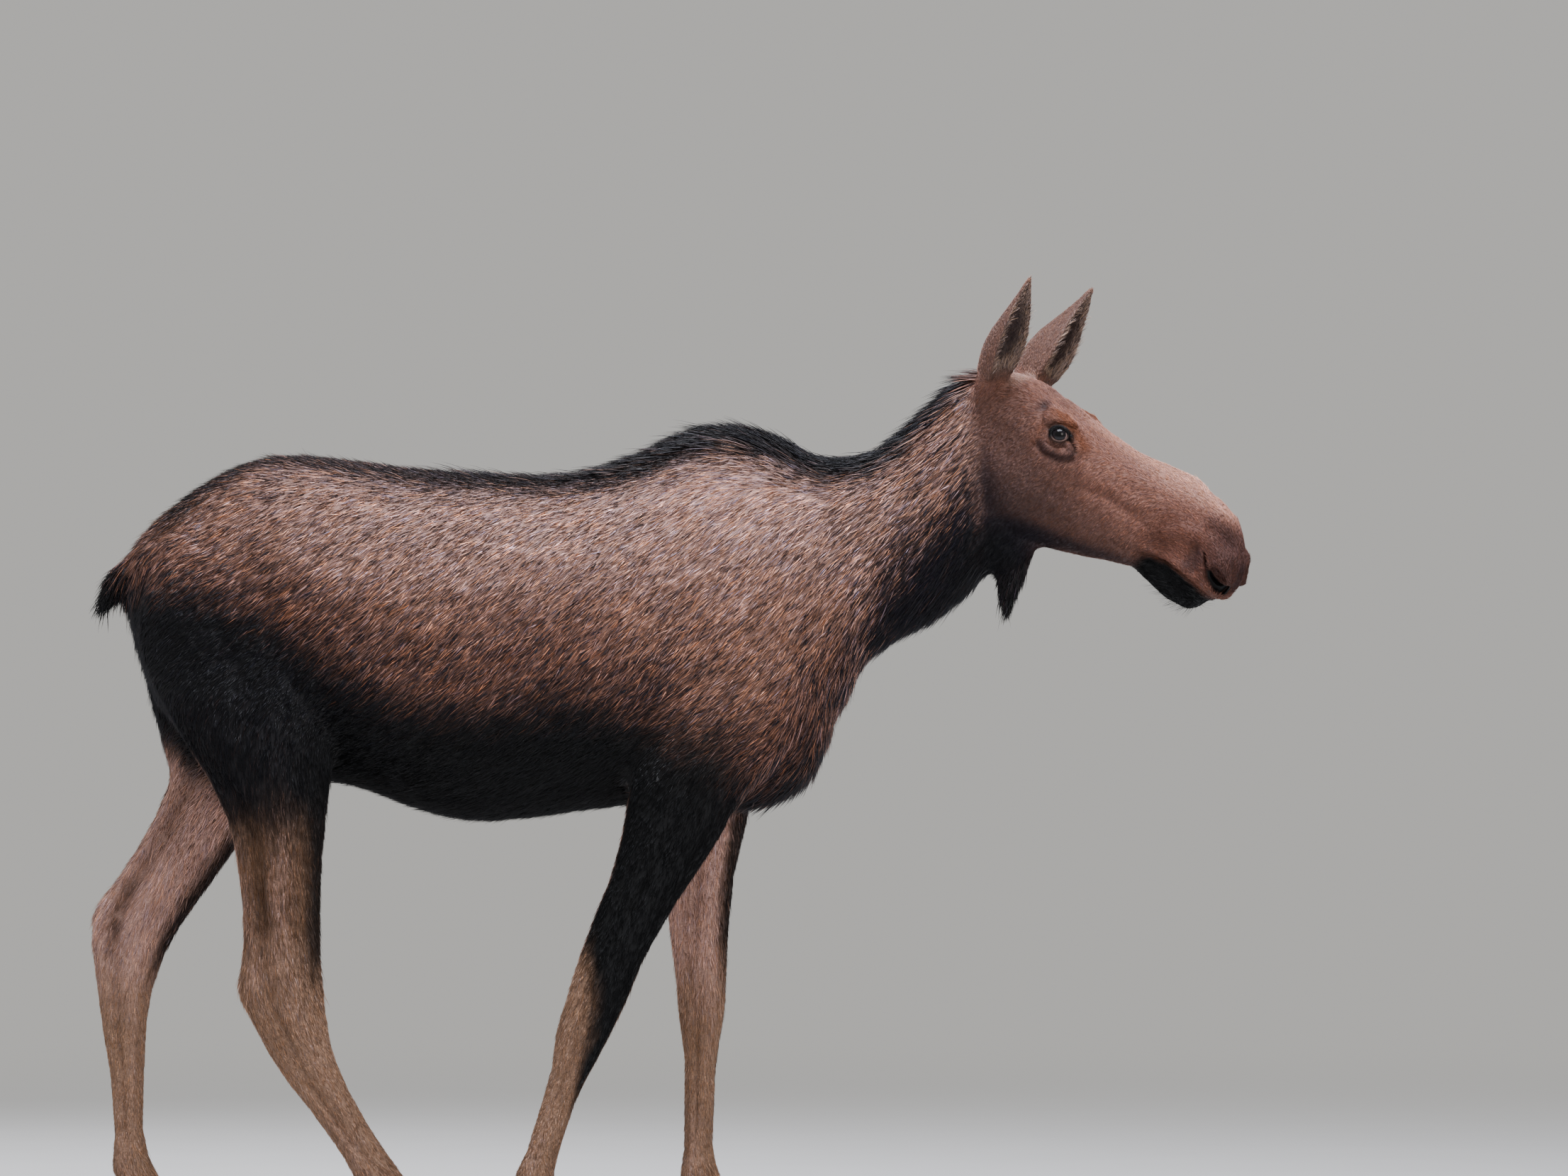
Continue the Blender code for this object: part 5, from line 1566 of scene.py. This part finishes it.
# Hairs are a tenth of a millimetre thick. The streaks are 7 mm long and 1 to 2 mm wide, so that they show.
stretch = {"Vector": place, "Scale": (140.0, 900.0, 500.0), "Rotation": (0.0, 0.6, 0.0)}
stretched = add_node(tree, "ShaderNodeMapping", stretch).outputs["Vector"]
streaks, tone = speckled(tree, colour, stretched, 1.0, 2.0, (0.30, 0.76))
relief = add_node(tree, "ShaderNodeBump", {"Height": streaks, "Strength": 0.5, "Distance": 0.001})
inputs = {"Base Color": tone, "Normal": relief.outputs["Normal"], "Roughness": 0.62}
inputs["Specular IOR Level"] = 0.2
shader = add_node(tree, "ShaderNodeBsdfPrincipled", inputs)
add_node(tree, "ShaderNodeOutputMaterial", {"Surface": shader.outputs["BSDF"]})
print("skin finish:", skin_finish.name)

# %% [markdown]
# ## Wet eye
# The eye is covered by a film of tears, so it mirrors the sky in one sharp spot. Its refraction is that of
# the cornea. The colours are painted on the ball, and a fine noise gives the fibres of the iris.
# %% Wet eye
eye_finish, tree = new_material("wet eye")
colour = add_node(tree, "ShaderNodeVertexColor", layer_name="iris").outputs["Color"]
place = add_node(tree, "ShaderNodeTexCoord").outputs["Object"]
# The fibres are about 1 mm apart.
_, tone = speckled(tree, colour, place, 900.0, 2.0, (0.7, 1.3), (0.0, 1.0))
shader = add_node(tree, "ShaderNodeBsdfPrincipled", {"Base Color": tone, "Roughness": 0.03, "IOR": 1.36})
add_node(tree, "ShaderNodeOutputMaterial", {"Surface": shader.outputs["BSDF"]})
print("eye finish:", eye_finish.name)

# %% [markdown]
# ## Hoof horn
# Horn is dull and nearly black where it is clean, with rings of growth a few millimetres apart. A wave of
# bands gives the rings, once as colour and once as a slight relief.
# %% Hoof horn
horn_finish, tree = new_material("hoof horn")
place = add_node(tree, "ShaderNodeTexCoord").outputs["Object"]
# Bands about 8 mm apart up the hoof, roughened by a little distortion.
bands = {"Vector": place, "Scale": 40.0, "Distortion": 2.0, "Detail": 2.0, "Detail Scale": 1.5}
rings = add_node(tree, "ShaderNodeTexWave", bands, bands_direction="Z").outputs["Fac"]
ramp = add_node(tree, "ShaderNodeValToRGB", {"Fac": rings})
for stop, code in zip(ramp.color_ramp.elements, ("#15110f", "#33291f")):
    stop.color = (*linear(code), 1)
relief = add_node(tree, "ShaderNodeBump", {"Height": rings, "Strength": 0.4, "Distance": 0.0008})
inputs = {"Base Color": ramp.outputs["Color"], "Normal": relief.outputs["Normal"], "Roughness": 0.48}
shader = add_node(tree, "ShaderNodeBsdfPrincipled", inputs)
add_node(tree, "ShaderNodeOutputMaterial", {"Surface": shader.outputs["BSDF"]})
print("horn finish:", horn_finish.name)

# %% [markdown]
# ## The pieces in the frame
# Every piece belongs to the one body of the still animal. The skin stands for all the solids of flesh, each
# eyeball for its eye, and the horn for the hooves. The coat is added to them and replaces nothing.
# %% Finish the skin and give every piece its place in the frame
paint(skin.data, "hair", skin_colour)
corner_places = np.zeros((len(skin.data.loops), 2))
corner_places[read(skin.data.loop_triangles, "loops", 3).ravel()] = triangle_places.reshape(-1, 2)
lay_out(skin.data, corner_places)
skin.vertex_groups.clear()
skin.data.shade_smooth()
skin.data.materials.clear()
skin.data.materials.append(skin_finish)
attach(skin, "root")
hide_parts(*FLESH)
SLOTS = {"coat_face": "tawny", "coat_cheeks": "tawny", "coat_ears": "tan"}
SLOTS |= {"ear_fringe_right": "tan", "ear_fringe_left": "tan"}
for piece in coat_pieces:
    small = any(word in piece.name for word in ("face", "cheeks", "ear", "fore_", "hind_", "belly"))
    piece.data.materials.append(short_hair if small else guard_hair)
    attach(piece, "root")
for side, ball in eye_balls.items():
    ball.data.materials.append(eye_finish)
    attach(ball, "root")
    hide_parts("eye_" + SIDE_NAMES[side])
for piece, names in hoof_pieces:
    piece.data.materials.append(horn_finish)
    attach(piece, "root")
    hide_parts(*names)
print("pieces:", 1 + len(coat_pieces) + len(eye_balls) + len(hoof_pieces))

# %% [markdown]
# ## The studio
# The animal stands on a plain pale floor under one broad soft light from above. Two weaker ones stand in
# front and behind, and an even pale surround fills the shadows. The camera stands level with the animal's
# body, far off with a long lens.
# %% Floor
shape = bmesh.new()
bmesh.ops.create_circle(shape, cap_ends=True, segments=96, radius=30.0)
floor = object_from(shape, "floor")
SURROUND, SURROUND_LIGHT = linear("#eceae6"), 0.60
floor_finish, tree = new_material("pale floor")
place = add_node(tree, "ShaderNodeTexCoord").outputs["Object"]
grain = add_node(tree, "ShaderNodeTexNoise", {"Vector": place, "Scale": 3.0, "Detail": 4.0})
level = add_node(tree, "ShaderNodeMapRange", {"Value": grain.outputs["Fac"], "To Min": 0.56, "To Max": 0.60})
shader = add_node(tree, "ShaderNodeBsdfPrincipled", {"Base Color": level.outputs["Result"], "Roughness": 0.8})
# Far off the floor fades into the surround, so that no horizon shows.
glow = add_node(tree, "ShaderNodeEmission", {"Color": (*SURROUND, 1), "Strength": SURROUND_LIGHT})
far = add_node(tree, "ShaderNodeVectorMath", {0: place}, operation="LENGTH")
reach = {"Value": far.outputs["Value"], "From Min": 2.0, "From Max": 12.0}
fading = add_node(tree, "ShaderNodeMapRange", reach, interpolation_type="SMOOTHSTEP")
mixed = {0: fading.outputs["Result"], 1: shader.outputs["BSDF"], 2: glow.outputs["Emission"]}
blend = add_node(tree, "ShaderNodeMixShader", mixed)
add_node(tree, "ShaderNodeOutputMaterial", {"Surface": blend.outputs["Shader"]})
floor.data.materials.append(floor_finish)
print("floor staged")


# %% Lights and camera
def add_light(name, place, aim, size, power, colour):
    lamp = bpy.data.lights.new(name, "AREA")
    lamp.size = size
    lamp.energy = power
    lamp.color = linear(colour)
    made = bpy.data.objects.new(name, lamp)
    made.location = place
    made.rotation_euler = (Vector(aim) - Vector(place)).to_track_quat("-Z", "Y").to_euler()
    bpy.context.scene.collection.objects.link(made)


add_light("sky", (0.3, -1.8, 6.5), (0.0, 0.0, 1.3), 4.5, 1020, "#eef2ff")
add_light("front", (3.5, -6.0, 3.2), (0.2, 0.0, 1.3), 3.0, 120, "#fff8f2")
add_light("behind", (-2.5, 5.5, 4.0), (0.0, 0.0, 1.4), 3.0, 200, "#fbfaff")
world = bpy.data.worlds.new("surround")
world.use_nodes = True
world.node_tree.nodes["Background"].inputs["Color"].default_value = (*SURROUND, 1)
world.node_tree.nodes["Background"].inputs["Strength"].default_value = SURROUND_LIGHT
bpy.context.scene.world = world
SENSOR, LENS = 36.0, 284.5
camera_data = bpy.data.cameras.new("camera")
camera_data.sensor_width = SENSOR
camera_data.lens = LENS
camera_data.clip_end = 200.0
camera = bpy.data.objects.new("camera", camera_data)
camera.location = (0.234, -25.0, 1.352)
camera.rotation_euler = (math.radians(90), 0.0, 0.0)
bpy.context.scene.collection.objects.link(camera)
bpy.context.scene.camera = camera
print("the camera sees a width of", round(-camera.location.y * SENSOR / LENS, 3), "metres")
